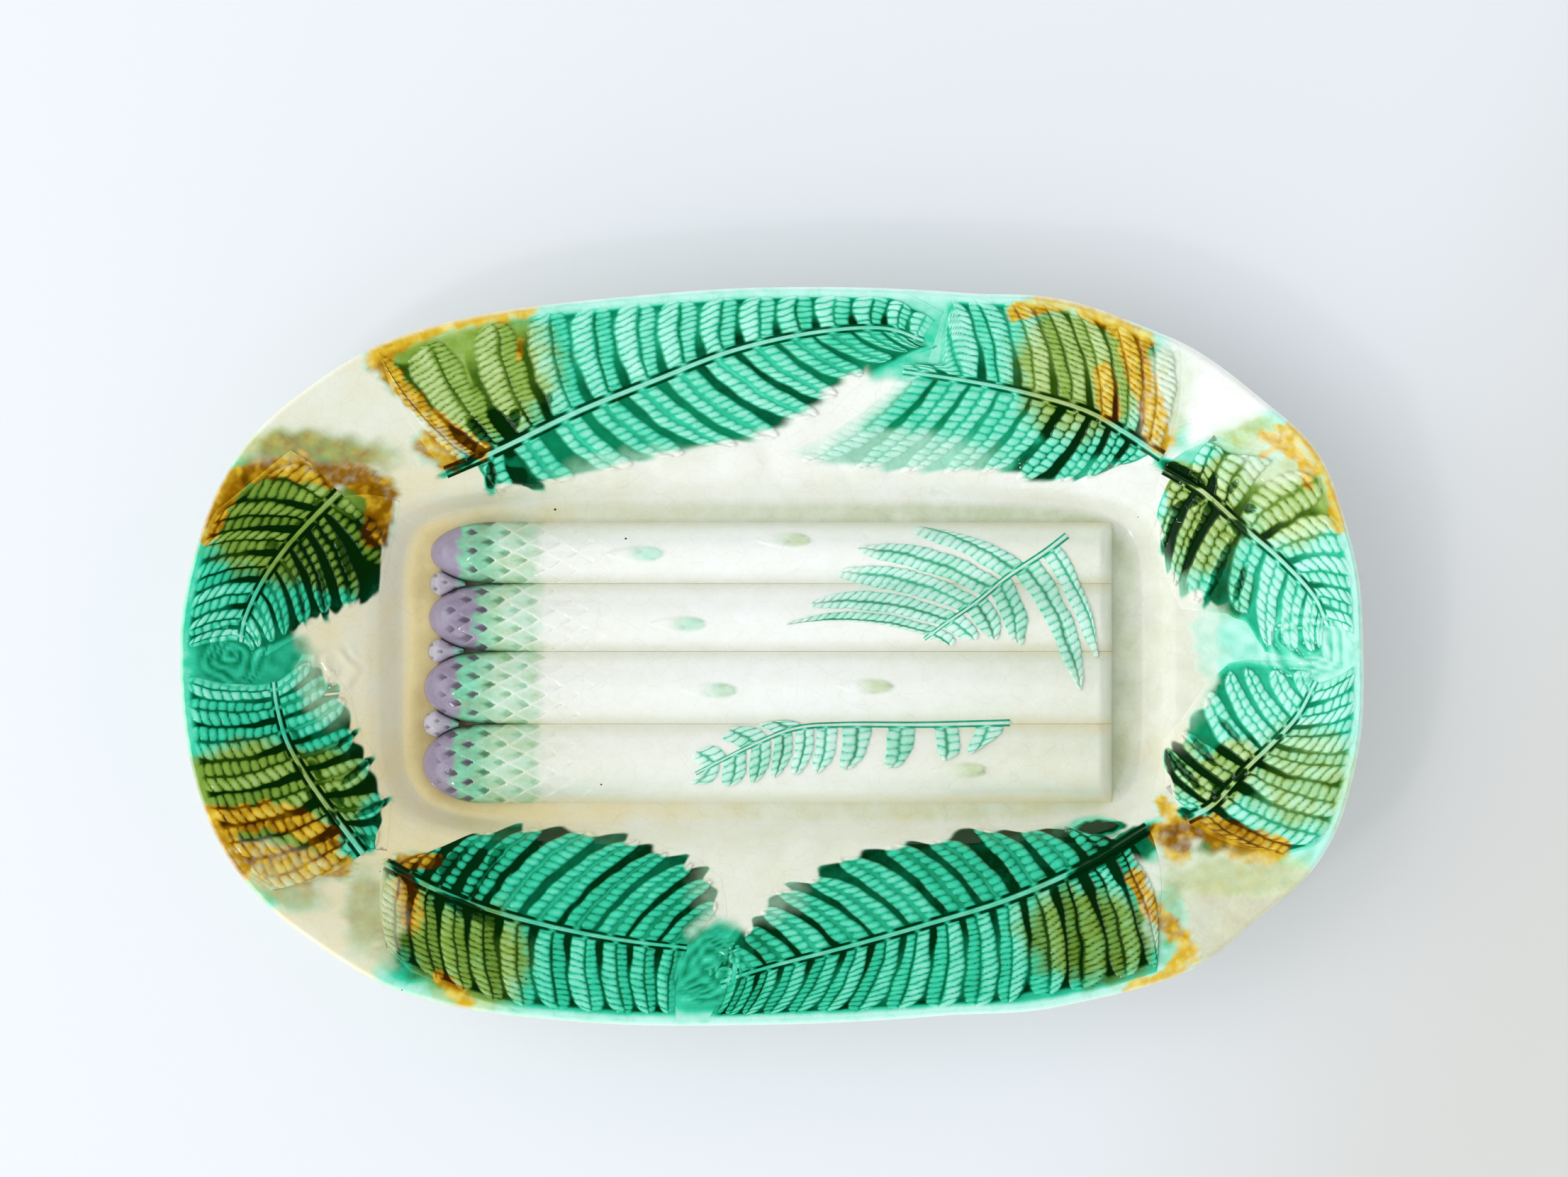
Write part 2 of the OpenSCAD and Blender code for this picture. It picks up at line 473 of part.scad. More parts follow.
module spear_1() { color("thistle") spear(0); }
module spear_2() { color("lavender") spear(1); }
module spear_3() { color("thistle") spear(2); }
module spear_4() { color("lavender") spear(3); }
module small_tip_1() { color("mediumpurple") small_tip(0); }
module small_tip_2() { color("mediumpurple") small_tip(1); }
module small_tip_3() { color("mediumpurple") small_tip(2); }

module frond_back_left() {
    color("turquoise") rim_frond("back", back_left_rib_shares,
        [back_left_outer_shares, 14, 0.04, leaflet_w],
        [back_left_inner_shares, 13, 0.09, inner_leaflet_w]);
}
module frond_back_right() {
    color("mediumaquamarine") rim_frond("back", back_right_rib_shares,
        [back_right_inner_shares, 9, 0.06, inner_leaflet_w],
        [back_right_outer_shares, 8, 0.02, leaflet_w]);
}
module frond_right_back() {
    color("seagreen") rim_frond("right", right_back_rib_shares,
        [right_back_outer_shares, 7, 0.1, leaflet_w],
        [right_back_inner_shares, 8, 0.06, inner_leaflet_w]);
}
module frond_right_front() {
    color("mediumseagreen") rim_frond("right", right_front_rib_shares,
        [right_front_inner_shares, 8, 0.06, inner_leaflet_w],
        [right_front_outer_shares, 7, 0.06, leaflet_w]);
}
module frond_front_right() {
    color("darkcyan") rim_frond("front", front_right_rib_shares,
        [front_right_outer_shares, 15, 0.05, leaflet_w],
        [front_right_inner_shares, 12, 0.08, inner_leaflet_w]);
}
module frond_front_left() {
    color("lightseagreen") rim_frond("front", front_left_rib_shares,
        [front_left_inner_shares, 9, 0.04, inner_leaflet_w],
        [front_left_outer_shares, 10, 0.02, leaflet_w]);
}
module frond_left_front() {
    color("olivedrab") rim_frond("left", left_front_rib_shares,
        [left_front_outer_shares, 7, 0.03, leaflet_w],
        [left_front_inner_shares, 7, 0.03, inner_leaflet_w]);
}
module frond_left_back() {
    color("darkseagreen") rim_frond("left", left_back_rib_shares,
        [left_back_inner_shares, 8, 0.02, inner_leaflet_w],
        [left_back_outer_shares, 7, 0.02, leaflet_w]);
}
module sprig_upper() {
    color("aquamarine") sprig(sprig_upper_rib_shares,
        [sprig_upper_left_shares, 6, 0.08, sprig_leaflet_w],
        [sprig_upper_right_shares, 5, 0.3, sprig_leaflet_w]);
}
module sprig_lower() {
    color("aquamarine") sprig(sprig_lower_rib_shares,
        [sprig_lower_left_shares, 10, 0.01, sprig_leaflet_w],
        [sprig_lower_right_shares, 3, 0.55, sprig_leaflet_w]);
}

dish_body();
foot_ring();
spear_1();
spear_2();
spear_3();
spear_4();
small_tip_1();
small_tip_2();
small_tip_3();
frond_back_left();
frond_back_right();
frond_right_back();
frond_right_front();
frond_front_right();
frond_front_left();
frond_left_front();
frond_left_back();
sprig_upper();
sprig_lower();
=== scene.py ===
import math
import bpy
import numpy as np
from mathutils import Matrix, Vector


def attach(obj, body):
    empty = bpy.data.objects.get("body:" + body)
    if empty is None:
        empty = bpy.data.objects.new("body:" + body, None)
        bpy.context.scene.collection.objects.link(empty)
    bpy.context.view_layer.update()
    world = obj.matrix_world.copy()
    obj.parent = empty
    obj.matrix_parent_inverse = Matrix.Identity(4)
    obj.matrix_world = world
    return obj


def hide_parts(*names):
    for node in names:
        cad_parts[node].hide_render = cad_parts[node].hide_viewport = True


# An oblong majolica asparagus plate: a cream dish on a foot ring, four moulded spears in the well,
# eight fern fronds round the rim and two sprigs over the spears. Sizes are millimetres, and the
# mesh maker turns them into metres. Colours are screen values from 0 to 255.

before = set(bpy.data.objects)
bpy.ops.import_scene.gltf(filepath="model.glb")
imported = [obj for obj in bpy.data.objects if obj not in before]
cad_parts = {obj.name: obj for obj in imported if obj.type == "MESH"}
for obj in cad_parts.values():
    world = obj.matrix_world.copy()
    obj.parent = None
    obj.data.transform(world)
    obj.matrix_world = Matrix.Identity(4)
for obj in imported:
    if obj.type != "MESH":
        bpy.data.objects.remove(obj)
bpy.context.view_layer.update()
mm = 0.001


# Small helpers on whole arrays

def smooth(low, high, value):   # 0 below low, 1 above high, eased between them
    t = np.clip((value - low) / (high - low), 0, 1)
    return t * t * (3 - 2 * t)


def eased(key, table):   # value of a table between its entries, eased by half a cosine wave
    keys, values = np.array(table, float).T
    i = np.clip(np.searchsorted(keys, key) - 1, 0, len(keys) - 2)
    t = np.clip((key - keys[i]) / (keys[i + 1] - keys[i]), 0, 1)
    return values[i] + (values[i + 1] - values[i]) * (1 - np.cos(np.pi * t)) / 2


def wander(x, y, size, seed):   # slow uneven waves from -1 to 1, a sum of five turned sines
    total = 0
    for k in range(5):
        turn = 2.4 * k + seed
        step = (1.0 + 0.37 * k) * 6.283 / size
        total = total + np.sin(step * (x * math.cos(turn) + y * math.sin(turn)) + seed * (3.1 + k))
    return total / 5


def chance(number, seed):   # an uneven value from 0 to 1 for each whole number
    return np.modf(np.abs(np.sin(number * 127.1 + seed * 311.7) * 43758.5453))[0]


def through(points, share):   # a smooth curve through a list of points: Catmull-Rom pieces
    points = np.array(points, float)
    ends = np.vstack([2 * points[0] - points[1], points, 2 * points[-1] - points[-2]])
    last = len(points) - 1
    i = np.clip(np.floor(share * last).astype(int), 0, last - 1)
    t = (share * last - i)[..., None]
    p0, p1, p2, p3 = ends[i], ends[i + 1], ends[i + 2], ends[np.minimum(i + 3, last + 2)]
    return p1 + (p2 - p0) * t / 2 + (2 * p0 - 5 * p1 + 4 * p2 - p3) * t * t / 2 \
        + (3 * p1 - p0 - 3 * p2 + p3) * t ** 3 / 2


# The plate's own form: the same outline, wall and well as the solid, with its corners eased

plate = {
    "length": 300.0, "width": 187.0, "height": 30.0, "square": 2.7, "trimTurn": 1.0, "swell": 3.0,
    "lipThick": 3.4, "lipRound": 1.6, "floorLength": 190.0, "floorWidth": 83.0, "floorThick": 4.5,
    "shift": 2.0, "floorSquare": 7.0, "footHeight": 3.5, "around": 560,
    "swellShares": [[-180, 0], [-165, -0.35], [-150, -0.35], [-137, 0.5], [-118, 0.1], [-90, 0],
                    [-65, -0.15], [-50, 0.6], [-37, 1.1], [-28, 0.2], [-21, 0.55], [-10, 0.1],
                    [5, 0], [14, -0.3], [20, -0.05], [28, -0.7], [39, -0.1], [51, 0.5],
                    [62, -0.15], [90, 0], [118, -0.4], [140, -0.15], [152, -0.7],
                    [167, -0.75], [180, 0]],
    "sectionShares": [[-0.2, 0], [0, 0], [0.03, 0.04], [0.07, 0.12], [0.11, 0.21], [0.16, 0.285],
                      [0.25, 0.375], [0.4, 0.5], [0.6, 0.672], [0.8, 0.86], [0.93, 0.975],
                      [0.98, 1], [1.2, 1]],
}
floorTop = plate["footHeight"] + plate["floorThick"]
rise = plate["height"] - floorTop
floorBack = plate["floorWidth"] / 2 - plate["shift"]
floorFront = plate["floorWidth"] / 2 + plate["shift"]


def ovalRadius(turn, a, b, square):   # radius of a boxy oval with half sizes a and b
    return 1 / ((np.abs(np.cos(turn)) / a) ** square + (np.abs(np.sin(turn)) / b) ** square) ** (1 / square)


def edgeRadius(turn):
    degrees = (np.degrees(turn) + 180) % 360 - 180
    return ovalRadius(turn - math.radians(plate["trimTurn"]), plate["length"] / 2, plate["width"] / 2,
                      plate["square"]) + plate["swell"] * eased(degrees, plate["swellShares"])


def floorRadius(turn):
    half = np.where(np.sin(turn) > 0, floorBack, floorFront)
    return ovalRadius(turn, plate["floorLength"] / 2, half, plate["floorSquare"])


def across(x, y):   # how far out a plan point lies: 0 at the floor's edge, 1 at the plate's edge
    turn = np.arctan2(y, x)
    inner = floorRadius(turn)
    return (np.hypot(x, y) - inner) / (edgeRadius(turn) - inner)


# Rise of the upper face: the table's straight runs, averaged over a short window so they flow
profileKeys = np.linspace(-0.2, 1.1, 1301)
profileLine = np.interp(profileKeys, *np.array(plate["sectionShares"]).T)
window = np.hanning(45) / np.hanning(45).sum()
profileLine = np.convolve(np.pad(profileLine, 22, mode="edge"), window, mode="valid")


def topHeight(share):
    return floorTop + rise * np.interp(share, profileKeys, profileLine)


def wallThick(share):
    return plate["floorThick"] + (plate["lipThick"] - plate["floorThick"]) * share


# The glaze, told in plan: soft patches [x, y, half length, half width, turn, strength]

glazeStrokes = {
    "olive": [
        [117, 46, 9, 6, 0, 0.7], [112, 32, 9, 13, -30, 0.8], [108, -30, 8, 9, 0, 0.5],
        [-78, 72, 23, 18, 0, 1], [79, 73, 17, 17, 0, 1], [134, 42, 12, 15, -25, 0.9],
        [110, 37, 7, 7, 0, 0.5], [135, -31, 15, 14, 0, 0.66], [81, -71, 19, 12.5, -8, 0.74],
        [112, -46.5, 14, 4, 0, 0.6], [-76, -77, 15.5, 14, 0, 0.8], [-91, -66, 8, 9, 0, 0.7],
        [-125, 34, 18, 15, 0, 1], [-108, 30, 9, 10, 0, 0.8], [-131, -32, 17, 10, 0, 1],
        [-126, -48, 13, 7, 0, 1], [-111, -34, 9, 11, 0, 0.75], [-116, 52, 22, 7, -5, 1],
        [-103, 42, 9, 9, 0, 1], [118, -56, 21, 7, 0, 0.9], [-100, -65, 8, 12, 0, 1],
        [102, 67, 8, 14, -15, 0.7], [121, 57, 9, 6, 0, 0.7], [-122, -58, 12, 6, -15, 0.7]],
    "dark": [
        [-71, 56, 12, 6, 25, 0.9], [-72, 46, 9, 3, 0, 0.7], [80, 57, 14, 6, -20, 1],
        [70, 50, 10, 5, 30, 0.7], [108, 42, 11, 6, -35, 1], [108, 31, 9, 9, -55, 0.8],
        [116, -31, 11, 7, 50, 0.9], [105, -28, 5, 8, 20, 0.7], [88, -52, 15, 5.5, 33, 1],
        [84, -45, 9, 3, 5, 1], [-84, -59, 16, 5, -27, 0.9], [-78, -53, 10, 4, -20, 0.7],
        [-110, 26, 12, 10, 20, 1], [-122, 32, 12, 5, 0, 0.4], [-112, -40, 11, 5, -50, 0.35],
        [-118, -27, 9, 4, -60, 0.25], [118, 16, 5, 9, -20, 0.4]],
    "haze": [
        [-116, 52, 19, 5, -5, 0.95], [101, 67, 6, 13, -15, 0.35], [120, 56.5, 8, 4.5, 0, 0.3],
        [119, -56.5, 19, 5, 0, 0.6], [-103, -65, 5, 11, 0, 0.6], [-122, -60.5, 9, 4, -10, 0.6],
        [137, 0, 12, 14, 0, 0.7], [113, 4, 5, 10, 0, 0.6], [101, -66, 4.5, 8, 0, 0.8]],
    "pools": [
        [-72, 46, 4, 1.5, 88, 1], [-63.5, 45.6, 5, 1.6, -30, 1], [-78, 49.4, 7, 1.1, 28, 0.9],
        [-74.5, 57, 5, 1.8, -50, 1], [-65.5, 60.5, 3.2, 1.6, 80, 1], [-57, 63.5, 4, 1.1, 80, 0.9],
        [105, 46.5, 7, 2, -28, 1], [106, 38.5, 5, 1.3, 20, 0.9], [112, 36.5, 2.5, 1.8, -50, 1],
        [119, 32.5, 3.4, 1.5, -45, 1], [122, 37.5, 1.8, 1.5, 0, 0.9], [117.5, 43, 2.4, 1.3, 50, 0.8],
        [103, 33.5, 7, 1.4, 71, 1], [109, 30.5, 9.5, 1.4, 67, 1], [114.5, 22, 9, 1.4, 69, 1],
        [119.5, 18, 6, 1.1, 72, 0.9], [106, -30, 6, 1.3, -50, 1], [110.5, -24.5, 5.5, 1.2, -52, 0.9],
        [117, -19, 5, 1.1, -50, 0.8], [102.3, -27.5, 3, 1.4, -80, 1], [106, -40.5, 2.4, 1.4, -20, 0.9],
        [113.5, -35.5, 2.2, 1.2, 70, 1], [119.5, -30.5, 2.4, 1.1, 50, 1], [114.5, -33, 3, 1.3, -15, 0.9],
        [129, -20.7, 1.4, 0.9, 20, 0.8], [84, -44.3, 6, 1.7, 5, 1], [86, -51, 14, 2.2, 32, 1],
        [-93.5, -56, 5, 1.6, -38, 0.8], [-77, -65, 10, 2, -27, 1], [-82.5, -53, 4, 1.8, 50, 1],
        [-70.5, -51, 3.6, 1.3, 52, 1], [-127, 28.5, 2, 2.4, 60, 0.8], [-120.3, 15, 6, 1.1, 100, 1],
        [-115, 16.5, 6.5, 1.3, 98, 1], [-109.5, 26, 7, 1.3, 105, 1], [-104, 16.5, 3, 1.3, 70, 0.9],
        [-116.5, 38.5, 2.5, 1, 45, 0.9], [-121, -21, 3.5, 1.5, 120, 0.8],
        [-120.7, -29.5, 2.6, 1.2, 115, 0.8], [-116.5, -29, 4, 1.6, 120, 0.8],
        [-117.6, -35.5, 2.8, 1.3, 115, 0.8], [-112, -42, 3, 1.3, 120, 1],
        [-110.8, -36.5, 3.4, 1.6, 120, 0.9], [-106.5, -30, 5, 1.2, 42, 1], [-103, -39.5, 5, 1.2, 28, 1],
        [-109.5, -22, 4, 0.9, 38, 0.9], [-104, -47.5, 3.2, 1.6, -55, 0.8], [-111, -48, 2.6, 1.3, -20, 0.8]],
    "rich": [
        [-14, -79, 13, 12, 0, 0.55], [24, 81, 11, 8, 0, 0.35], [-92, -77, 6, 6, 0, 0.4],
        [-130, -48, 12, 7, 0, 0.4], [112, -46.5, 14, 4.5, 0, 0.95], [80, -72, 16, 11, 0, 0.5],
        [-82, -72, 16, 10, 0, 0.25], [-132, 30, 13, 15, 0, 0.35], [-134, -26, 12, 16, 0, 0.4],
        [112, 27, 9, 13, 0, 0.45], [112, -26, 9, 12, 0, 0.2], [88, -48, 9, 4.5, 10, 0.5],
        [-120, 46, 18, 4, 0, 0.25], [-101, 38, 5, 7, 0, 0.4], [101, -66, 5, 8, 0, 0.5],
        [119, -57, 18, 5, 0, 0.3]],
    "full": [
        [33, 77, 13, 7, -8, 1], [-13, -77, 9, 9, 0, 1], [136, 3, 10, 13, 0, 1], [-133, -2, 15, 11, 0, 1],
        [-104, 41, 6, 5, 0, 1], [81.5, -45, 8, 3, 3, 1]],
    "thin": [
        [22, 50, 34, 8, 0, 0.58], [-24, 47, 28, 6, 0, 0.45], [-113, -5, 8, 12, 0, 0.5],
        [103, 0, 8, 22, 0, 0.55], [120, -57, 22, 6, -8, 0.85], [-118, -58, 20, 7, -25, 0.8],
        [-116, 54, 22, 6, 3, 0.6], [102, 70, 7, 16, -15, 0.85], [-6, -60, 14, 8, 0, 0.4],
        [128, 50, 9, 7, 0, 0.5], [-99.5, -67, 6, 13, 0, 0.7], [99, -62, 4, 12, -10, 0.6]],
}

# Ochre is trailed with a fine brush: [half width, strength, points of the path]
ochreTrails = [
    [3.4, 1, (-99.5, 75), (-97, 79.5), (-88, 83.5), (-80, 86), (-72, 87.3), (-62, 88.8)],
    [2.5, 1, (-99, 74.5), (-94, 68), (-87.8, 61.8), (-80.5, 56.5), (-74.5, 52.5)],
    [3.6, 0.95, (-88, 54), (-83, 50.5)], [1.0, 0.7, (-64, 80), (-64, 75)],
    [2.6, 1, (62, 87), (69, 89.5), (77, 89.5), (85.7, 84.8), (94.6, 79.8)],
    [2.8, 0.9, (84, 72), (86.5, 62)], [3.6, 1, (91, 78), (96, 66), (99, 54.5)],
    [2.2, 1, (132, 58.5), (138, 53), (142.5, 44), (143.8, 33)],
    [1.4, 0.9, (124, 56.5), (131, 52), (138, 47)], [1.3, 0.9, (129, 57), (134, 50), (136, 43)],
    [1.2, 0.8, (125, 51), (133, 55.5)],
    [3.0, 1, (99.5, -45.6), (106, -44.5), (112.9, -43.8), (121, -46.5), (128.6, -48.5)],
    [3.6, 0.9, (101.5, -47), (104, -50)], [2.2, 0.75, (113, -48), (121, -51), (127, -51)],
    [2.0, 1, (100.2, -38), (103, -42)],
    [2.6, 0.95, (93, -57), (97.2, -64.9), (103.5, -70.5), (106, -76), (99.5, -82.8), (91.6, -84.6)],
    [2.0, 0.8, (101.5, -69), (105, -73)],
    [2.0, 0.95, (-94, -52.3), (-86, -52.8)], [3.4, 0.75, (-94, -59), (-91, -67)],
    [2.2, 0.85, (-84, -81.5), (-77, -87.5)],
    [2.8, 1, (-142.5, 31), (-139.5, 39), (-135, 45.5), (-125.3, 48.2), (-115, 46), (-104.5, 46.5),
     (-98.5, 42)],
    [3.6, 1, (-106, 45), (-99.5, 42.5), (-100.5, 36), (-101.5, 31)], [2.2, 0.7, (-120, 51), (-112, 44)],
    [3.4, 1, (-142, -40.5), (-138.5, -47), (-134, -53.5)],
    [3.6, 0.95, (-138, -42), (-128, -40.5), (-120, -42.5), (-113, -47)],
    [3.6, 0.9, (-132, -50), (-122, -52), (-110, -53.5)], [2.6, 0.7, (-128, -56), (-118, -57)],
]

# Where the fronds meet, turned relief fills the rim: [x, y, reach, line pitch]
whorls = [[136, 3, 14, 3.2], [-16, -80, 12, 2.6], [-112, -4, 9, 3.6], [-136.5, 0.5, 11, 2.6]]

# Bare cream corners: wedges [apex x, apex y, direction, half angle]
bareCorners = [[-77, 51, 155, 19], [106, 52, 62, 37], [92, -51, -40, 25], [-99, -50, -122.5, 32]]

# Degrees round the plate, and how deep the fern glaze lies on the plain lip there
lipPoolShares = [[-180, 0.3], [-165, 0.28], [-150, 0.16], [-120, 0.04], [-90, -0.02], [-60, -0.03],
                 [0, 0.02], [30, 0.0], [65, 0.0], [110, 0.04], [150, 0.12], [168, 0.28], [180, 0.3]]

# Where the fern glaze begins on the bare slope: degrees round the plate, share across
glazeStartShares = [[-180, 0.45], [-165, 0.5], [-150, 0.55], [-110, 0.5], [-90, 0.58], [-70, 0.6],
                    [-30, 0.5], [-16, 0.32], [-8, 0.3], [8, 0.34], [16, 0.45], [30, 0.55], [65, 0.6],
                    [90, 0.66], [110, 0.6], [150, 0.55], [168, 0.5], [180, 0.45]]


def strokeMask(x, y, strokes, soft=0.25):   # soft ellipses laid over each other
    left = np.ones_like(x)
    for cx, cy, along, aside, turn, strength in strokes:
        c, s = math.cos(math.radians(turn)), math.sin(math.radians(turn))
        u = ((x - cx) * c + (y - cy) * s) / along
        v = ((y - cy) * c - (x - cx) * s) / aside
        left = left * (1 - strength * (1 - smooth(1 - soft, 1 + soft, np.hypot(u, v))))
    return 1 - left


def cornerCover(x, y):   # 0 in the bare corners, 1 elsewhere
    cover = 1
    for ax, ay, direction, half in bareCorners:
        off = (np.degrees(np.arctan2(y - ay, x - ax)) - direction + 180) % 360 - 180
        gap = (np.abs(off) - half - 3 * wander(x, y, 12, 7)) * np.hypot(x - ax, y - ay) / 57.3
        cover = cover * smooth(-2.5, 1.0, gap)
    return cover


def slopeCover(x, y):   # how much fern glaze lies on the plain slope beside the fronds
    degrees = np.degrees(np.arctan2(y, x))
    start = eased(degrees, glazeStartShares) + 0.05 * wander(x, y, 14, 3)
    return smooth(start - 0.03, start + 0.06, across(x, y)) * cornerCover(x, y)


def plainCover(x, y, zones):   # the same with its thin and washed places
    cover = np.maximum(slopeCover(x, y) * (1 - 0.75 * zones["thin"]), 0.9 * zones["haze"])
    return np.maximum(cover, np.maximum(zones["ochre"], zones["full"]))


def trailMask(x, y, trails):   # one less a soft step of the distance to each path
    left = np.ones_like(x)
    for half, strength, *path in trails:
        nearest = np.full_like(x, 1e9)
        for (ax, ay), (bx, by) in zip(path[:-1], path[1:]):
            dx, dy = bx - ax, by - ay
            t = np.clip(((x - ax) * dx + (y - ay) * dy) / (dx * dx + dy * dy), 0, 1)
            nearest = np.minimum(nearest, np.hypot(x - ax - t * dx, y - ay - t * dy))
        left = left * (1 - strength * (1 - smooth(0.6, 1.35, nearest / half)))
    return 1 - left


def zoneMasks(x, y):
    def wandered(amount, sizeX, sizeY, seed):   # plan points moved a little, so that borders are uneven
        return x + amount * wander(x, y, sizeX, seed), y + amount * wander(x, y, sizeY, seed + 1)

    softness = {"olive": 0.45, "haze": 0.4}
    spot = wandered(1.6, 11, 13, 1)
    zones = {key: strokeMask(*spot, glazeStrokes[key], softness.get(key, 0.25)) for key in glazeStrokes}
    ochre = trailMask(*wandered(0.9, 6, 7, 3), ochreTrails) * (0.95 + 0.3 * wander(x, y, 5, 6))
    zones["ochre"] = np.maximum(np.clip(ochre, 0, 1), 0.45 * zones["haze"] * smooth(25, 35, np.abs(y)))
    pools = strokeMask(*wandered(0.4, 5, 6, 1), glazeStrokes["pools"], 0.5)
    zones["pools"], zones["poolDepth"] = smooth(0, 0.4, pools), 0.95 * smooth(0.2, 0.9, pools)
    return zones


def whorlNear(x, y):   # 1 at a meeting place, fading outwards
    near = [1 - smooth(0.4, 1, np.hypot(x - cx, y - cy) / reach) for cx, cy, reach, pitch in whorls]
    return np.max(near, axis=0)


def whorlLines(x, y):   # spiral waves about each meeting place, from -1 to 1, fading outwards
    total = 0
    for cx, cy, reach, pitch in whorls:
        r, turn = np.hypot(x - cx, y - cy), np.arctan2(y - cy, x - cx)
        wave = np.sin(2 * math.pi * (r / pitch + 0.8 * wander(x, y, 16, cx)) + turn)
        total = total + wave * (1 - smooth(0.5, 1, r / reach))
    return np.clip(total, -1, 1)


# Meshes

def gridFaces(rows, columns, start=0, closeRows=False, closeColumns=False):   # quads of a grid
    i = np.arange(rows if closeRows else rows - 1)[:, None]
    j = np.arange(columns if closeColumns else columns - 1)
    i, j = i * columns + 0 * j, 0 * i + j
    nextRow, nextColumn = (i + columns) % (rows * columns), (j + 1) % columns
    return start + np.stack([i + j, i + nextColumn, nextRow + nextColumn, nextRow + j], -1).reshape(-1, 4)


def tubeFaces(rows, around):   # quads round each pair of rings, and a fan to one more point at each end
    j = np.arange(around)
    ahead, last = (j + 1) % around, (rows - 1) * around
    return [gridFaces(rows, around, closeColumns=True),
            np.stack([np.full(around, rows * around), ahead, j], -1),
            np.stack([np.full(around, rows * around + 1), last + j, last + ahead], -1)]


# Two colour attributes carry eight masks per point: which glaze lies there, and how deep it is. Warm also
# carries painted shade, and on the dish cover, olive, purple and pool do too
maskLayers = {"glazeZone": ["cover", "ochre", "olive", "purple"],
              "glazeDepth": ["pool", "dark", "bead", "warm"]}


def makePiece(name, points, faces, masks, replaced, material):
    # faces is a list of arrays of triangles or quads; a mask is one value or one for each point
    triangles = np.vstack([f[:, [0, k, k + 1]] for f in faces for k in range(1, f.shape[1] - 1)])
    a, b, c = np.moveaxis(points[triangles], 1, 0)
    volume = (a * np.cross(b, c)).sum() / 6   # of the tetrahedra from the middle to every triangle
    if volume < 0:
        faces = [f[:, ::-1] for f in faces]
    loops = np.concatenate([f.ravel() for f in faces])
    sizes = np.concatenate([np.full(len(f), f.shape[1]) for f in faces])
    mesh = bpy.data.meshes.new(name)
    mesh.vertices.add(len(points))
    mesh.vertices.foreach_set("co", (points * mm).astype(np.float32).ravel())
    mesh.loops.add(len(loops))
    mesh.loops.foreach_set("vertex_index", loops.astype(np.int32))
    mesh.polygons.add(len(sizes))
    mesh.polygons.foreach_set("loop_start", (np.cumsum(sizes) - sizes).astype(np.int32))
    mesh.update(calc_edges=True)
    mesh.polygons.foreach_set("use_smooth", np.ones(len(sizes), bool))
    for layer, order in maskLayers.items():
        values = [np.broadcast_to(np.ravel(masks.get(key, 0)), (len(points),)) for key in order]
        attribute = mesh.attributes.new(layer, "FLOAT_COLOR", "POINT")
        attribute.data.foreach_set("color", np.stack(values, -1).astype(np.float32).ravel())
    mesh.materials.append(material)
    piece = bpy.data.objects.new(name, mesh)
    bpy.context.scene.collection.objects.link(piece)
    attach(piece, "root")
    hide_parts(replaced)
    print(name, len(points), "points,", len(triangles), "triangles, volume", round(abs(volume)), "mm3")


# Materials

def linear(r, g, b):   # screen colour to the linear value that a socket takes
    return [((v / 255 + 0.055) / 1.055) ** 2.4 if v > 10 else v / 255 / 12.92 for v in (r, g, b)] + [1.0]


def feed(tree, node, inputs):   # links or values into a node's sockets; the node stands right of its sources
    column = -1600
    for key, value in inputs.items():
        if isinstance(value, bpy.types.NodeSocket):
            tree.links.new(value, node.inputs[key])
            column = max(column, value.node.location.x)
        else:
            node.inputs[key].default_value = value
    taken = sum(abs(other.location.x - column - 200) < 1 for other in tree.nodes)
    node.location = column + 200, -200 * taken
    return node


def addNode(tree, kind, inputs, **settings):
    node = tree.nodes.new("ShaderNode" + kind)
    for key, value in settings.items():
        setattr(node, key, value)
    return feed(tree, node, inputs)


def mathNode(tree, operation, *values, clamp=False):
    return addNode(tree, "Math", dict(enumerate(values)), operation=operation, use_clamp=clamp).outputs[0]


def mixColour(tree, factor, a, b, blend="MIX"):
    return addNode(tree, "Mix", {0: factor, 6: a, 7: b}, data_type="RGBA", blend_type=blend).outputs[2]


def easedNode(tree, value, low, high, first=0.0, last=1.0, kind="SMOOTHSTEP"):
    inputs = {"Value": value, "From Min": low, "From Max": high, "To Min": first, "To Max": last}
    return addNode(tree, "MapRange", inputs, interpolation_type=kind).outputs["Result"]


def newGroup(name, inputs, result, kind="Float"):   # an input is a float with a value, or has a kind's name
    group = bpy.data.node_groups.new(name, "ShaderNodeTree")
    for key, value in inputs.items():
        given = value if isinstance(value, str) else "Float"
        made = group.interface.new_socket(name=key, in_out="INPUT", socket_type="NodeSocket" + given)
        if given == "Float":
            made.default_value = value
    group.interface.new_socket(name=result, in_out="OUTPUT", socket_type="NodeSocket" + kind)
    return group, group.nodes.new("NodeGroupInput").outputs, group.nodes.new("NodeGroupOutput")


# One translucent glaze: thin, middle, rich and deep colours along its depth
glazeSteps = ("Thin", "Middle", "Rich", "Deep")
glazeRamp, given, groupOut = newGroup("glazeRamp", {"Depth": 0.5, **dict.fromkeys(glazeSteps, "Color")},
                                      "Color", "Color")
ramp = given["Thin"]
for k, step in enumerate(glazeSteps[1:]):
    share = mathNode(glazeRamp, "MULTIPLY_ADD", given["Depth"], 3.0, float(-k), clamp=True)
    ramp = mixColour(glazeRamp, share, ramp, given[step])
feed(glazeRamp, groupOut, {"Color": ramp})

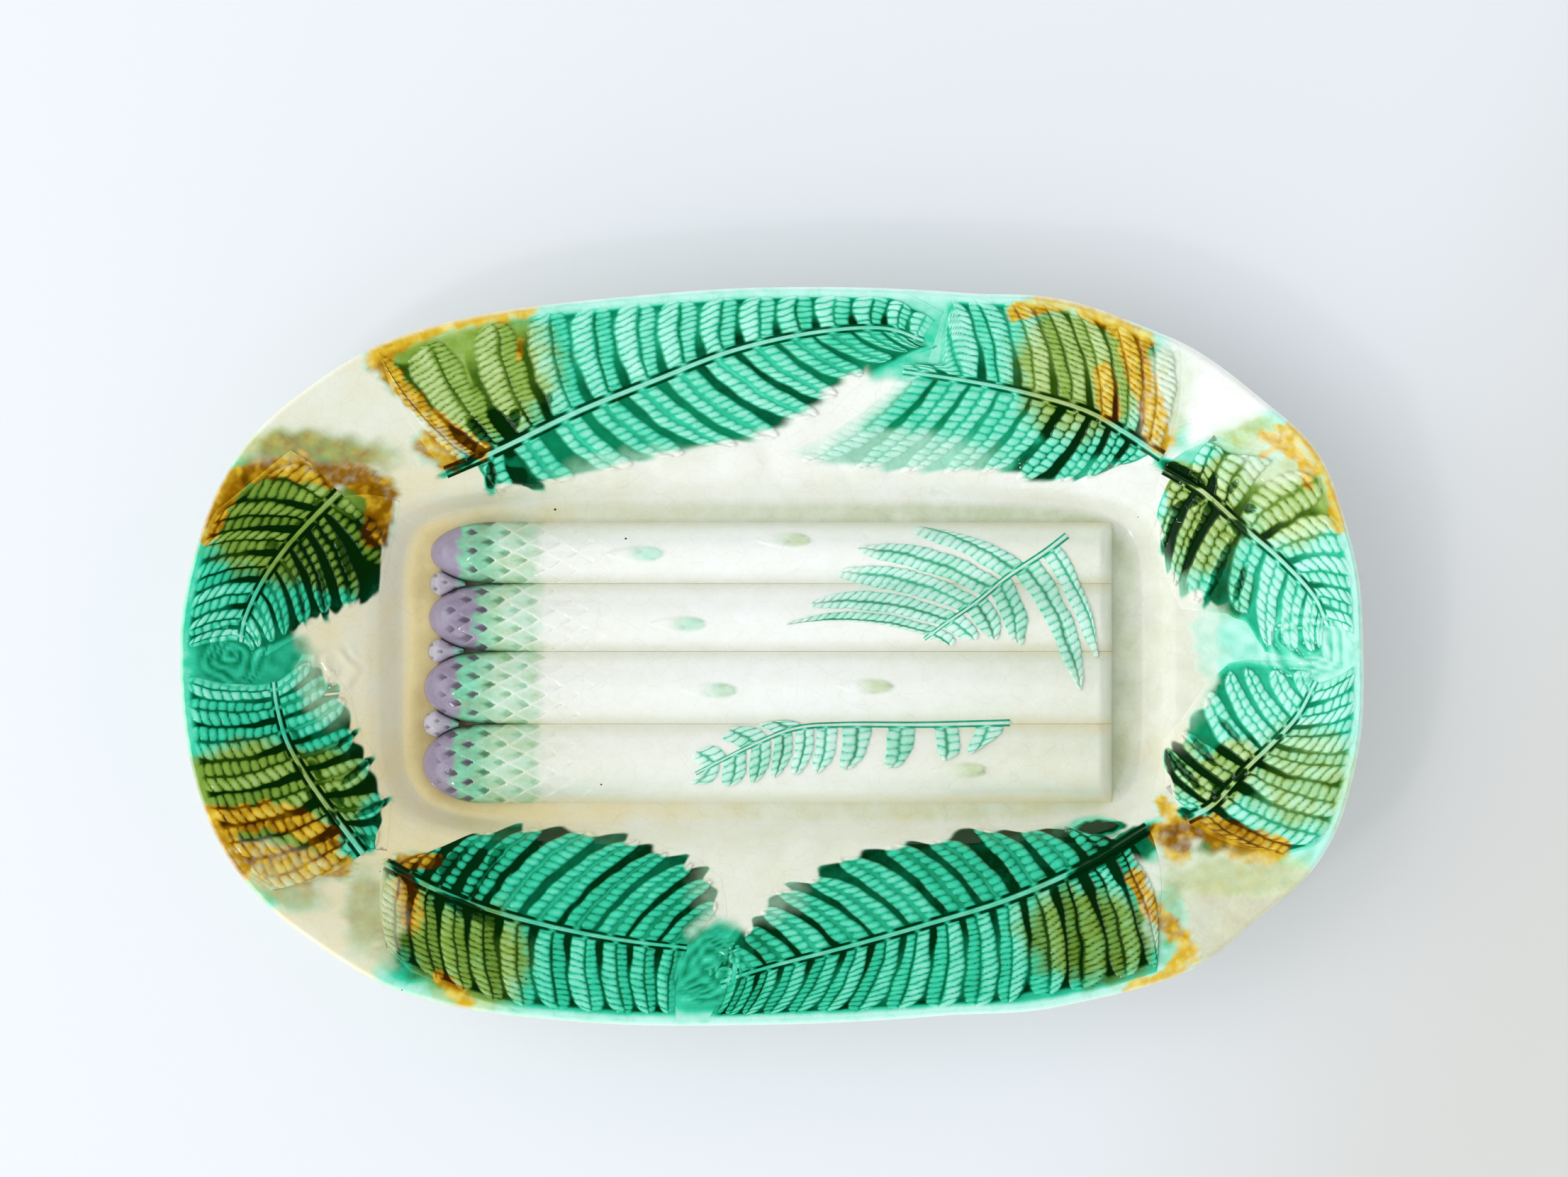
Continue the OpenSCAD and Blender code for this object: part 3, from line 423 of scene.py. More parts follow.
# Fine crazing: hairline edges of uneven cells
crazing, given, groupOut = newGroup("crazing", {"Vector": "Vector", "Cell": 300.0}, "Lines")
bend = addNode(crazing, "TexNoise", {"Vector": given["Vector"], "Scale": 160.0, "Detail": 2.0})
pull = addNode(crazing, "VectorMath", {0: bend.outputs["Color"], "Scale": 0.0016}, operation="SCALE")
pushed = addNode(crazing, "VectorMath", {0: given["Vector"], 1: pull.outputs[0]}, operation="ADD")
cells = addNode(crazing, "TexVoronoi", {"Vector": pushed.outputs[0], "Scale": given["Cell"]},
                feature="DISTANCE_TO_EDGE")
hairlines = easedNode(crazing, cells.outputs["Distance"], 0.0, 0.028, 1.0, 0.0, "LINEAR")
feed(crazing, groupOut, {"Lines": hairlines})

# Kiln specks: a few cells in a hundred hold one tiny dark dot
specks, given, groupOut = newGroup(
    "kilnSpecks", {"Vector": "Vector", "Cell": 160.0, "Share": 0.06, "Size": 0.05}, "Dots")
cells = addNode(specks, "TexVoronoi", {"Vector": given["Vector"], "Scale": given["Cell"]}, feature="F1")
pick = addNode(specks, "SeparateColor", {"Color": cells.outputs["Color"]})
few = mathNode(specks, "LESS_THAN", pick.outputs[0], given["Share"])
near = mathNode(specks, "LESS_THAN", cells.outputs["Distance"], given["Size"])
feed(specks, groupOut, {"Dots": mathNode(specks, "MULTIPLY", few, near)})

glazeColours = {
    "fern": [(188, 246, 229), (58, 209, 166), (12, 139, 94), (0, 47, 17)],
    "olive": [(206, 228, 166), (134, 168, 66), (56, 93, 14), (4, 40, 4)],
    "ochre": [(240, 226, 128), (220, 182, 46), (150, 102, 2), (62, 34, 0)],
    "purple": [(198, 192, 206), (150, 136, 162), (92, 76, 110), (40, 30, 52)],
    "cream": [(248, 250, 245), (230, 232, 212), (232, 216, 162), (176, 156, 104)],
}
creamLook = {"drift": 0.25, "grain": 0.1, "darkPull": 0.25, "craze": 230.0, "crazeStrength": 0.07,
             "crazeColour": (120, 104, 80), "crazeSink": -0.12, "speckColour": (58, 44, 34), "ripple": 90.0,
             "beadBump": 0.0, "bump": 0.3, "bumpHeight": 0.00025, "rough": 0.07, "roughDrift": 0.1,
             "ior": 1.47, "coat": 0.1, "coatRough": 0.04, "warmDrift": 0.22, "edgeDrift": 1.4,
             "edgeGrain": 0.34, "oliveEdge": 0.55, "ochreEdge": 0.9, "purpleEdge": 0.5, "darkEdge": 0.35}
fernLook = dict(creamLook, drift=0.28, darkPull=0.2, crazeStrength=0.1, beadBump=0.5, bump=0.35)


def glazeMaterial(name, look):
    material = bpy.data.materials.new(name)
    material.use_nodes = True
    tree = material.node_tree
    place = addNode(tree, "TexCoord", {}).outputs["Object"]
    masks = []
    for layer in maskLayers:
        stored = addNode(tree, "Attribute", {}, attribute_name=layer)
        split = addNode(tree, "SeparateColor", {"Color": stored.outputs["Color"]})
        masks += [*split.outputs, stored.outputs["Alpha"]]
    cover, ochre, olive, purple, pool, dark, bead, warm = masks

    def noise(scale, detail, roughness=0.5):
        inputs = {"Vector": place, "Scale": scale, "Detail": detail, "Roughness": roughness}
        return addNode(tree, "TexNoise", inputs).outputs["Fac"]

    def calc(operation, *values, clamp=False):
        return mathNode(tree, operation, *values, clamp=clamp)

    def timesPlus(a, b, c, clamp=False):   # a times b, plus c
        return mathNode(tree, "MULTIPLY_ADD", a, b, c, clamp=clamp)

    drift = calc("SUBTRACT", noise(210.0, 4.0, 0.55), 0.5)
    grain = calc("SUBTRACT", noise(700.0, 3.0, 0.6), 0.5)

    def ragged(mask, amount):   # a mask whose border wanders with the noise
        moved = timesPlus(grain, amount / 2, timesPlus(drift, amount, mask))
        return easedNode(tree, moved, 0.12, 0.88)

    def ramp(key, depth):
        colours = {step: linear(*colour) for step, colour in zip(glazeSteps, glazeColours[key])}
        return addNode(tree, "Group", {"Depth": depth, **colours}, node_tree=glazeRamp).outputs[0]

    depth = timesPlus(grain, look["grain"], timesPlus(drift, look["drift"], pool))
    deeper = timesPlus(ragged(dark, look["darkEdge"]), look["darkPull"], 1.0)
    depth = calc("MULTIPLY", depth, deeper, clamp=True)
    veinOff = calc("ABSOLUTE", calc("SUBTRACT", noise(190.0, 2.0), 0.5))   # ochre runs in darker veins
    veins = easedNode(tree, veinOff, 0.0, 0.22, 0.2, -0.06)
    ochreDepth = timesPlus(depth, 0.85, veins, clamp=True)

    cream = ramp("cream", timesPlus(drift, look["warmDrift"], warm))
    colour = mixColour(tree, ragged(olive, look["oliveEdge"]), ramp("fern", depth), ramp("olive", depth))
    colour = mixColour(tree, ragged(ochre, look["ochreEdge"]), colour, ramp("ochre", ochreDepth))
    colour = mixColour(tree, ragged(purple, look["purpleEdge"]), colour, ramp("purple", depth))
    loose = calc("MULTIPLY", calc("SUBTRACT", 1.0, cover), cover)   # only a half covered place is uneven
    uneven = calc("MULTIPLY", timesPlus(grain, look["edgeGrain"], drift), loose)
    coverNow = timesPlus(uneven, look["edgeDrift"], cover, clamp=True)
    coverNow = calc("MULTIPLY", coverNow, calc("GREATER_THAN", cover, 0.004))
    colour = mixColour(tree, coverNow, cream, colour)

    craze = addNode(tree, "Group", {"Vector": place, "Cell": look["craze"]}, node_tree=crazing).outputs[0]
    crazeFaint = calc("MULTIPLY", craze, look["crazeStrength"])
    colour = mixColour(tree, crazeFaint, colour, linear(*look["crazeColour"]), "MULTIPLY")
    dots = addNode(tree, "Group", {"Vector": place}, node_tree=specks).outputs[0]
    colour = mixColour(tree, dots, colour, linear(*look["speckColour"]))

    height = timesPlus(bead, look["beadBump"], noise(look["ripple"], 2.0))
    height = timesPlus(craze, look["crazeSink"], height)
    bump = addNode(tree, "Bump", {"Strength": look["bump"], "Distance": look["bumpHeight"], "Height": height})
    rough = timesPlus(grain, look["roughDrift"], look["rough"])
    rough = timesPlus(craze, look["roughDrift"], rough, clamp=True)
    shader = feed(tree, tree.nodes["Principled BSDF"], {
        "Base Color": colour, "Normal": bump.outputs["Normal"], "Roughness": rough, "IOR": look["ior"],
        "Coat Weight": look["coat"], "Coat Roughness": look["coatRough"]})
    tree.nodes["Material Output"].location = shader.location.x + 300, shader.location.y
    return material


creamGlaze = glazeMaterial("creamGlaze", creamLook)
fernGlaze = glazeMaterial("fernGlaze", fernLook)
sprigGlaze = glazeMaterial("sprigGlaze", dict(fernLook, drift=0.35))
spearGlaze = glazeMaterial("asparagusGlaze", dict(creamLook, drift=0.16))
tipGlaze = glazeMaterial("tipGlaze", dict(creamLook, bump=0.5))
print("materials made")


# The dish: rings from the well's middle over the lip to the underside

def wallFolds(x, y, share):   # faint leaf tips and folds in the cream slope beside the long sides
    fold = np.abs(np.sin((x + 0.6 * np.abs(y)) / 7.5 * math.pi / 2 + wander(x, y, 40, 5))) - 0.5
    return 0.35 * fold * smooth(0.03, 0.12, share) * (1 - smooth(0.2, 0.4, share)) * smooth(92, 78, np.abs(x))


def rimRelief(x, y, share):   # the folds and whorls that lie under the fronds too
    within = smooth(0.1, 0.2, share) * smooth(0.95, 0.85, share)
    return wallFolds(x, y, share) + 0.3 * whorlLines(x, y) * within


def plainWarmAndShade(x, y, share):   # how warm and thick the cream glaze looks on the dish, with painted shade at the right and lower right
    warm = 0.14 + 0.3 * smooth(10, -100, x) + 0.14 * smooth(10, -45, y) + 0.08 * wander(x, y, 30, 5)
    warm = warm - 0.12 * smooth(60, 115, x) * smooth(30, 60, y)
    # The tan at the lower right corner is partly the glaze's tint, partly painted shade; the deepening along
    # the right side is painted shade of the light's fall-off
    warm = warm + 0.16 * smooth(80, 120, x) * smooth(-45, -65, y)
    warm = warm + 0.14 * smooth(88, 98, x) * smooth(45, 20, np.abs(y))
    return warm - 0.1 * smooth(0.3, 0.8, share) * smooth(100, 60, x)


def buildDish():
    # Each ring goes once round at one height: its radius is a share of the floor's boxy oval, or lies a
    # share of the way from there to the plate's edge, and the rim's relief is added on top
    n = plate["around"]
    lip, lipCentre = plate["lipRound"], plate["height"] - plate["lipRound"]
    # A ring is (on the floor, share, height, side); the side is 0 under the spears, 1 on top, 2 below
    rings = [(True, q, floorTop, 0) for q in (0.3, 0.6, 0.8)]
    rings += [(True, q, floorTop, 1) for q in np.linspace(0.84, 0.985, 16)]
    rings += [(False, s, topHeight(s), 1) for s in [*np.linspace(0, 0.3, 34), *np.linspace(0.31, 0.965, 48)]]
    rings += [(False, 0.97 + 0.03 * math.cos(a), lipCentre + lip * math.sin(a), 1)
              for a in np.radians(np.linspace(80, -85, 12))]
    rings += [(False, s, topHeight(s) - wallThick(s), 2) for s in np.linspace(0.94, 0.02, 34)]
    rings += [(True, q, plate["footHeight"], 2) for q in (1.0, 0.985, 0.96, 0.9, 0.7, 0.35)]
    onFloor, share, z, side = np.array(rings)[:, :, None].transpose(1, 0, 2)
    t = 2 * math.pi * np.arange(n) / n
    turn = np.arctan2(plate["width"] * np.sin(t), plate["length"] * np.cos(t))
    inner, outer = floorRadius(turn), edgeRadius(turn)
    radius = np.where(onFloor, inner * share, inner + share * (outer - inner))
    x, y = radius * np.cos(turn), radius * np.sin(turn)
    share, side = share - onFloor + 0 * x, side + 0 * x
    z = z + np.where(side == 1, rimRelief(x, y, share), 0)
    centres = [[0, 0, floorTop], [0, 0, plate["footHeight"]]]
    points = np.vstack([np.stack([x, y, z], -1).reshape(-1, 3), centres])

    x, y = points[:, 0], points[:, 1]
    side, share = np.append(side, [0, 2]), np.append(share, [-1, -1])
    zones = zoneMasks(x, y)
    upper = side == 1
    cover = plainCover(x, y, zones) * upper * (1 - 0.45 * smooth(0.975, 0.995, share))
    under = (side == 2) & (share > 0.8)
    cover = np.where(under, 0.35 * smooth(0.9, 0.97, share) * cornerCover(x, y), cover)
    cover = np.maximum(cover, zones["pools"] * upper)
    moat = smooth(0.02, -0.05, share) * upper
    warm = plainWarmAndShade(x, y, share) + moat * (0.1 + 0.26 * smooth(-70, -92, x))
    warm = np.where(side == 2, 0.25 + 0.15 * wander(x, y, 60, 8), warm)
    # Painted shade, laid as a thin grey olive-purple glaze: in the moat round the spears, heavier to the
    # right and along the back, and on the slope at the right and lower right
    greyShade = moat * (0.24 * smooth(-60, 60, x) + 0.1 * smooth(20, 36, y) * smooth(-95, -60, x))
    greyShade = greyShade + upper * smooth(80, 112, x) * (0.14 + 0.16 * smooth(-30, -60, y)) * smooth(62, 45, y)
    pool = eased(np.degrees(np.arctan2(y, x)), lipPoolShares) + 0.12 * wander(x, y, 9, 4)
    pool = pool + (0.26 - 0.18 * smooth(60, 120, x)) * smooth(0.97, 0.9, share)
    pool = pool - 0.17 * whorlLines(x, y) * smooth(0.02, 0.1, share) * upper - 0.02 * zones["haze"]
    pool = np.maximum(pool + 0.45 * zones["rich"], zones["poolDepth"]) + 0.1 * zones["ochre"]
    greyShadeWins = greyShade > cover
    masks = {"cover": np.maximum(cover, greyShade), "ochre": zones["ochre"] * upper,
             "olive": np.where(greyShadeWins, 1, zones["olive"]), "purple": 0.45 * (greyShadeWins & (share > 0)),
             "pool": np.where(greyShadeWins, 0.3, pool), "dark": zones["dark"] * 0.4 * upper, "warm": warm}
    makePiece("dishBody", points, tubeFaces(len(rings), n), masks, "dish_body", creamGlaze)


# The foot ring: a flared band with rounded edges, carried round a rounded oblong

foot = {"inset": 7.0, "cornerRadius": 24.0, "width": 4.0, "flare": 1.6, "flareHeight": 1.6, "edgeRound": 0.8,
        "bury": 0.25}


def buildFoot():
    # A point is the path's point plus its outward direction times the profile's offset, at its height
    r = foot["cornerRadius"]
    centre = np.array([plate["floorLength"], plate["floorWidth"]]) / 2 - foot["inset"] - r
    path, outward = [], []
    for k, corner in enumerate([(1, 1), (-1, 1), (-1, -1), (1, -1)]):
        a = np.radians(np.linspace(0, 90, 25)) + k * math.pi / 2
        path.append(centre * corner + r * np.stack([np.cos(a), np.sin(a)], -1))
        outward.append(np.stack([np.cos(a), np.sin(a)], -1))
    t = np.linspace(0, 1, 30)[1:-1, None]   # the straight runs between the corners
    runs = [path[k][-1] + (path[(k + 1) % 4][0] - path[k][-1]) * t for k in range(4)]
    path = np.vstack([part for pair in zip(path, runs) for part in pair])
    outward = np.vstack([np.vstack([part, np.repeat(part[-1:], len(t), 0)]) for part in outward])
    h, w, e, f = plate["footHeight"], foot["width"], foot["edgeRound"], foot["flare"]
    bend = np.radians(np.linspace(0, 90, 7))
    flare = [(f * (1 - math.sin(b)), h - (h - foot["flareHeight"]) * (1 - math.cos(b))) for b in bend]
    toe = [(-e + e * math.cos(b), e - e * math.sin(b)) for b in bend]
    outer = [(f, h + foot["bury"])] + flare + toe
    profile = np.array(outer + [(-w - x, z) for x, z in reversed(outer)])
    plan = path[:, None] + outward[:, None] * profile[:, :1] - [0, plate["shift"]]
    height = np.broadcast_to(profile[:, 1], plan.shape[:2])[..., None]
    points = np.concatenate([plan, height], -1).reshape(-1, 3)
    warm = 0.3 + 0.7 * smooth(0.8, 0, points[:, 2]) + 0.12 * wander(points[:, 0], points[:, 1], 25, 6)
    faces = [gridFaces(len(path), len(profile), closeRows=True, closeColumns=True)]
    makePiece("footRing", points, faces, {"warm": warm, "pool": 0.2}, "foot_ring", creamGlaze)


# The spears: a broad round back, a nose, rows of pointed scales, and bracts on the stalk

bed = {
    "length": plate["floorLength"] - 14.0, "width": plate["floorWidth"] - 10.4, "middle": -plate["shift"],
    "height": 8.6, "groove": 4.4, "joint": 0.03, "headLength": 16.0, "endRound": 4.5,
    "widthShares": [0.22, 0.24, 0.257, 0.283], "reachShares": [0, 0.03, 0.11, 0.13],
    "scaleRow": 4.25, "scaleWide": 4.8, "scaleHigh": 1.1, "scalyLength": 52.0, "bury": 0.15,
    "scaleShifts": [2.2, 0.4, 2.9, 1.2], "purpleReach": [8.0, 12.5, 9.0, 8.5],
}
bracts = {"length": 7.0, "width": 2.6, "high": 0.4,
          "places": [(-35, 26), (3, 29.5), (-24, 8), (-16, -9), (24, -8), (48, -29.5)]}
lineShares = np.concatenate([[0], np.cumsum(bed["widthShares"])])
spearLines = bed["middle"] + bed["width"] / 2 - bed["width"] * lineShares
spearMiddles = (spearLines[:-1] + spearLines[1:]) / 2
spearHalves = (spearLines[:-1] - spearLines[1:]) / 2
tipPlaces = -bed["length"] / 2 - bed["headLength"] * np.array(bed["reachShares"])


def backProfile(side):   # 1 at the crest, easing to a soft valley at the groove
    return (0.5 + 0.5 * np.cos(math.pi * np.clip(np.abs(side), 0, 1))) ** 0.62


def outerProfile(side):   # 1 at the crest, rolling off to the floor
    return np.clip(1 - np.clip(np.abs(side), 0, 1) ** 2.6, 0, 1)


def stalkHeight(side, outerSide):   # the outermost sides fall to the floor, the others to the grooves
    valley = bed["groove"] + (bed["height"] - bed["groove"]) * backProfile(side)
    return np.where(outerSide, bed["height"] * outerProfile(side), valley)


def cutEnd(x):   # the rounded fall at the cut ends
    return outerProfile(np.clip((x - bed["length"] / 2 + bed["endRound"]) / bed["endRound"], 0, 1))


def spearSurface(x, y):   # height of the four plain backs at plan points behind their heads
    k = np.clip(np.searchsorted(-spearLines, -y) - 1, 0, 3)
    side = (y - spearMiddles[k]) / spearHalves[k]
    outerSide = ((k == 0) & (side > 0)) | ((k == 3) & (side < 0))
    return floorTop + stalkHeight(side, outerSide) * cutEnd(x)


def shingles(x, y, row, wide):   # scales that point to the tip: 1 on a scale's point, 0 in a pit
    height = np.zeros_like(x)
    for family in (0, 1):
        aside = np.abs(((y / wide + 0.5 * family) % 1) - 0.5) * 2
        front = family * row + row * (1 - (1 - aside) ** 1.1)
        height = np.maximum(height, 1 - ((x - front) % (2 * row)) / (2 * row))
    return height


def withEdges(points, low):   # a strip with its two edges let down to a level under the floor
    edges = points[:, [0, -1]].copy()
    edges[..., 2] = low
    return np.concatenate([edges[:, :1], points, edges[:, 1:]], 1)


def tubeValues(values, first, last):   # a strip's values, with the let-down edges and the two end points
    return np.append(np.pad(values, ((0, 0), (1, 1)), mode="edge"), [first, last])


def spearWarmAndShade(x, y):   # how warm the cream glaze looks on the spears, with painted shade growing towards the right
    return 0.02 + 0.14 * smooth(20, -90, x) + 0.12 * smooth(-8, -30, y) + 0.2 * smooth(-10, 85, x)


def buildSpear(k):
    # Height is the back's profile across times the nose's quarter circle and the fall of the cut end along,
    # plus the lift of the scales and bracts
    tip, middle, half, head = tipPlaces[k], spearMiddles[k], spearHalves[k] - bed["joint"], bed["headLength"]
    end, endRound, scalyEnd = bed["length"] / 2, bed["endRound"], tip + bed["scalyLength"]
    first = tip + head * np.linspace(0.02, 1, 16) ** 2 * 0.12
    x = np.concatenate([first, np.arange(first[-1] + 0.3, scalyEnd + 8, 0.34),
                        np.arange(scalyEnd + 8.5, end - endRound, 0.7),
                        end - endRound * np.cos(np.radians(np.linspace(0, 90, 12)))])
    side = np.cos(np.linspace(0, math.pi, 84))
    side = np.sign(side) * (1 - (1 - np.abs(side)) ** 0.82)
    nose = np.sqrt(1 - (1 - np.clip((x - tip) / head, 0, 1)) ** 2)[:, None]
    dome = np.sqrt(np.clip(1 - side ** 2, 0, 1))
    domed = bed["groove"] / 2 + (bed["height"] - bed["groove"] / 2) * dome
    stalk = stalkHeight(side, ((k == 0) & (side > 0)) | ((k == 3) & (side < 0)))
    blend = smooth(0.9, 2.0, (x - tip) / head)[:, None]
    body = domed * (1 - blend) + stalk * blend
    z = floorTop + body * nose * np.maximum(cutEnd(x), 0.02)[:, None]
    y = middle + half * side * nose
    x = np.broadcast_to(x[:, None], y.shape)

    # Scales fade along the stalk; bracts are single pointed scales on the plain part
    late = 4.5 * (k == 0)
    start = smooth(2.5 + late, 8 + late, x - tip)
    along = x - tip + 1.1 * k + 0.4 * wander(x, y, 17, k)
    beside = y + bed["scaleShifts"][k] + 0.5 * wander(x, y, 15, k + 3)
    scale = shingles(along, beside, bed["scaleRow"], bed["scaleWide"])
    fade = 1 - smooth(26, bed["scalyLength"], x - tip)
    lift = bed["scaleHigh"] * start * fade * (scale ** 0.8 - 0.55)
    green = 0
    for bx, by in bracts["places"]:
        u, v = (x - bx) / bracts["length"], (y - by) / bracts["width"]
        wide = np.sqrt(np.clip((u + 1) * (1 - u) * (1.3 + u), 0, 3)) / 1.3 + 0.01
        shape = smooth(0, 0.5, 1 - np.abs(v) / wide) * (np.abs(u) < 1)
        lift = lift + bracts["high"] * shape
        green = np.maximum(green, shape * smooth(-0.6, 0.5, u))
    z = z + lift * np.clip(dome * 1.6, 0, 1) * np.clip(nose, 0, 1)
    points = withEdges(np.stack([x, y, z], -1), floorTop - bed["bury"])
    faces = tubeFaces(*points.shape[:2])
    points = np.vstack([points.reshape(-1, 3), [[tip, middle, floorTop + 0.1], [end, middle, floorTop]]])

    aside = np.broadcast_to(np.abs(side), y.shape)
    scale, start, green, aside = (tubeValues(v, v[0, 0], v[-1, -1]) for v in (scale, start, green, aside))
    x, y = points[:, 0], points[:, 1]
    reach = x - tip
    edge = -59 + 1.6 * wander(x, y, 9, 2 + k)
    stained = 1 - smooth(edge - 3.5, edge + 1.5, x)
    pit = smooth(0.5, 0.26, scale) * start * (1 - smooth(14, 24, reach) * 0.7)
    purpleEnd = bed["purpleReach"][k]
    purple = 1 - smooth(purpleEnd - 2.5, purpleEnd + 2.5, reach - 5 * pit + 1.8 * wander(x, y, 8, k))
    leafGreen = smooth(12, 22, reach + 1.2 * wander(x, y, 7, k + 5))
    groove = smooth(0.86, 0.99, aside) * smooth(4, 12, reach)
    edges = 0.35 * smooth(0.78, 0.95, scale) * leafGreen   # the scales' own points come out pale
    cover = np.clip(stained * (0.9 - 0.3 * leafGreen * (1 - pit) - edges) + 0.55 * green, 0, 1)
    pool = 0.28 + 0.14 * purple - 0.16 * leafGreen + 0.42 * pit + 0.1 * (1 - scale) * start
    # Towards the right a thin olive film greys the spears: painted shade of the light's fall-off
    olive = 0.4 + 0.1 * leafGreen + (0.75 * smooth(-40, 20, x) - 0.35) * green + smooth(0, 20, x)
    masks = {"cover": np.maximum(cover, 0.05 * smooth(20, 80, x)), "olive": np.clip(olive, 0, 1),
             "purple": np.maximum(purple, 0.3 * (1 - leafGreen)),
             "pool": pool + 0.4 * groove * (1 - 0.5 * leafGreen),
             # the warm tint in the valleys between the spears is painted shade
             "warm": spearWarmAndShade(x, y) + 0.2 * smooth(0.6, 1, aside)}
    makePiece("spear" + "ABCD"[k], points, faces, masks, "spear_%d" % (k + 1), spearGlaze)


# The small tips: little scaly buds in the notches between the heads

smallTip = {"length": 9.5, "width": 7.0, "height": 6.0, "joint": 0.25, "gap": 0.05, "row": 2.6, "wide": 3.4,
            "high": 0.5}


def headShare(k, x):   # how wide a head is at x: a quarter circle along its nose
    return np.sqrt(1 - (1 - np.clip((x - tipPlaces[k]) / bed["headLength"], 0, 1)) ** 2)


def buildSmallTip(k):
    # Across, a cosine from the room beside one head to the room beside the next; along, a quarter circle
    # that rises to a slowly falling top, plus the scales
    s = np.linspace(0.012, 1, 60)[:, None] ** 1.6
    x = tipPlaces[k] - smallTip["joint"] + smallTip["length"] * s
    f = np.sqrt(1 - (1 - np.clip(2 * s, 0, 1)) ** 2)
    room = [spearHalves[i] * (1 - headShare(i, x)) - smallTip["gap"] for i in (k, k + 1)]
    high, low = (np.minimum(free, smallTip["width"] / 2) * f for free in room)   # out from the notch's line
    a = np.linspace(0, math.pi, 40)
    y = spearLines[k + 1] + (high - low) / 2 + (high + low) / 2 * np.cos(a)
    x = x + 0 * y
    scale = shingles(x + k, y + 0.8 * k, smallTip["row"], smallTip["wide"])
    body = smallTip["height"] * f * (1 - s / 3) * (0.45 + 0.55 * np.sin(a))
    z = floorTop + body + smallTip["high"] * (scale - 0.6) * np.sin(a) * f
    points = withEdges(np.stack([x, y, z], -1), floorTop - bed["bury"])
    faces = tubeFaces(*points.shape[:2])
    ends = [[x[0, 0], y[0].mean(), floorTop + 0.1], [x[-1, 0], y[-1].mean(), floorTop + 0.6]]
    points = np.vstack([points.reshape(-1, 3), ends])
    reach = points[:, 0] - x[0, 0]
    bottom = smooth(floorTop + 3.4, floorTop + 1.5, points[:, 2])
    pit = smooth(0.45, 0.15, tubeValues(scale, 0.6, 0.6))
    masks = {"cover": 0.75 + 0.15 * smooth(3, 8, reach), "purple": 1 - 0.6 * smooth(5, 9, reach),
             "pool": 0.26 + 0.6 * pit + 0.35 * bottom, "warm": 0.2, "olive": 0.3}
    makePiece("smallTip" + "ABC"[k], points, faces, masks, "small_tip_%d" % (k + 1), tipGlaze)


# The fronds. Ribs are shares [along, across] from the base, tips are [share of the rib, along, across].

halfLength, halfWidth, floorEnd = plate["length"] / 2, plate["width"] / 2, plate["floorLength"] / 2
sides = {   # where a side's shares start, and the steps along and across it
    "back": [(0, floorBack), (halfLength, 0), (0, halfWidth - floorBack)],
    "front": [(0, -floorFront), (halfLength, 0), (0, floorFront - halfWidth)],
    "right": [(floorEnd, 0), (0, halfWidth), (halfLength - floorEnd, 0)],
    "left": [(-floorEnd, 0), (0, halfWidth), (floorEnd - halfLength, 0)],
    "bed": [(0, bed["middle"]), (bed["length"] / 2, 0), (0, bed["width"] / 2)],
}


def onSide(side, shares):   # plan points in millimetres
    start, along, across = np.array(sides[side], float)
    return start + shares[..., :1] * along + shares[..., 1:] * across


# How a row of leaflets looks. Half widths of the pitch by the rib and farther out, the vein's place from
# the middle and its width are shares; the widest leaflet, bead pitches and heights are millimetres.
# Pairs are for the row of beads on the base side of the vein and the row on its far side.
rungs = {"halfNear": 0.4, "halfFar": 0.49, "wide": 12.0, "blunt": 14, "stretch": 1.03, "veinAt": 0.12,
         "veinWide": 0.12, "veinPool": 0.62, "pitches": (1.75, 1.45), "slant": 0.3, "square": 4.0,
         "inward": 1.0, "crown": 0.22, "rows": (0.65, 0.42), "pools": (0.02, 0.15), "valley": (0.42, 0.4),
         "groovePools": (0.88, 0.6, 0.78), "vary": 0.1, "finger": False}
squares = dict(rungs, pitches=(2.5, 2.3), veinAt=0.06, veinWide=0.1, rows=(0.62, 0.5), pools=(0.02, 0.1),
               valley=(0.46, 0.43), blunt=16)
beads = dict(rungs, halfNear=0.46, halfFar=0.4, wide=7.4, blunt=7, stretch=1.0, veinAt=0.0, veinWide=0.2,
             veinPool=0.34, pitches=(2.3, 2.3), slant=0.05, square=2.6, inward=1.15, crown=0.35,
             rows=(0.5, 0.45), pools=(0.1, 0.12), valley=(0.3, 0.3), groovePools=(0.78, 0.76, 0.82),
             finger=True)
blocks = dict(beads, pitches=(2.4, 2.4), square=4.0, inward=1.0, pools=(0.07, 0.1), valley=(0.33, 0.33),
              groovePools=(0.74, 0.6, 0.64))

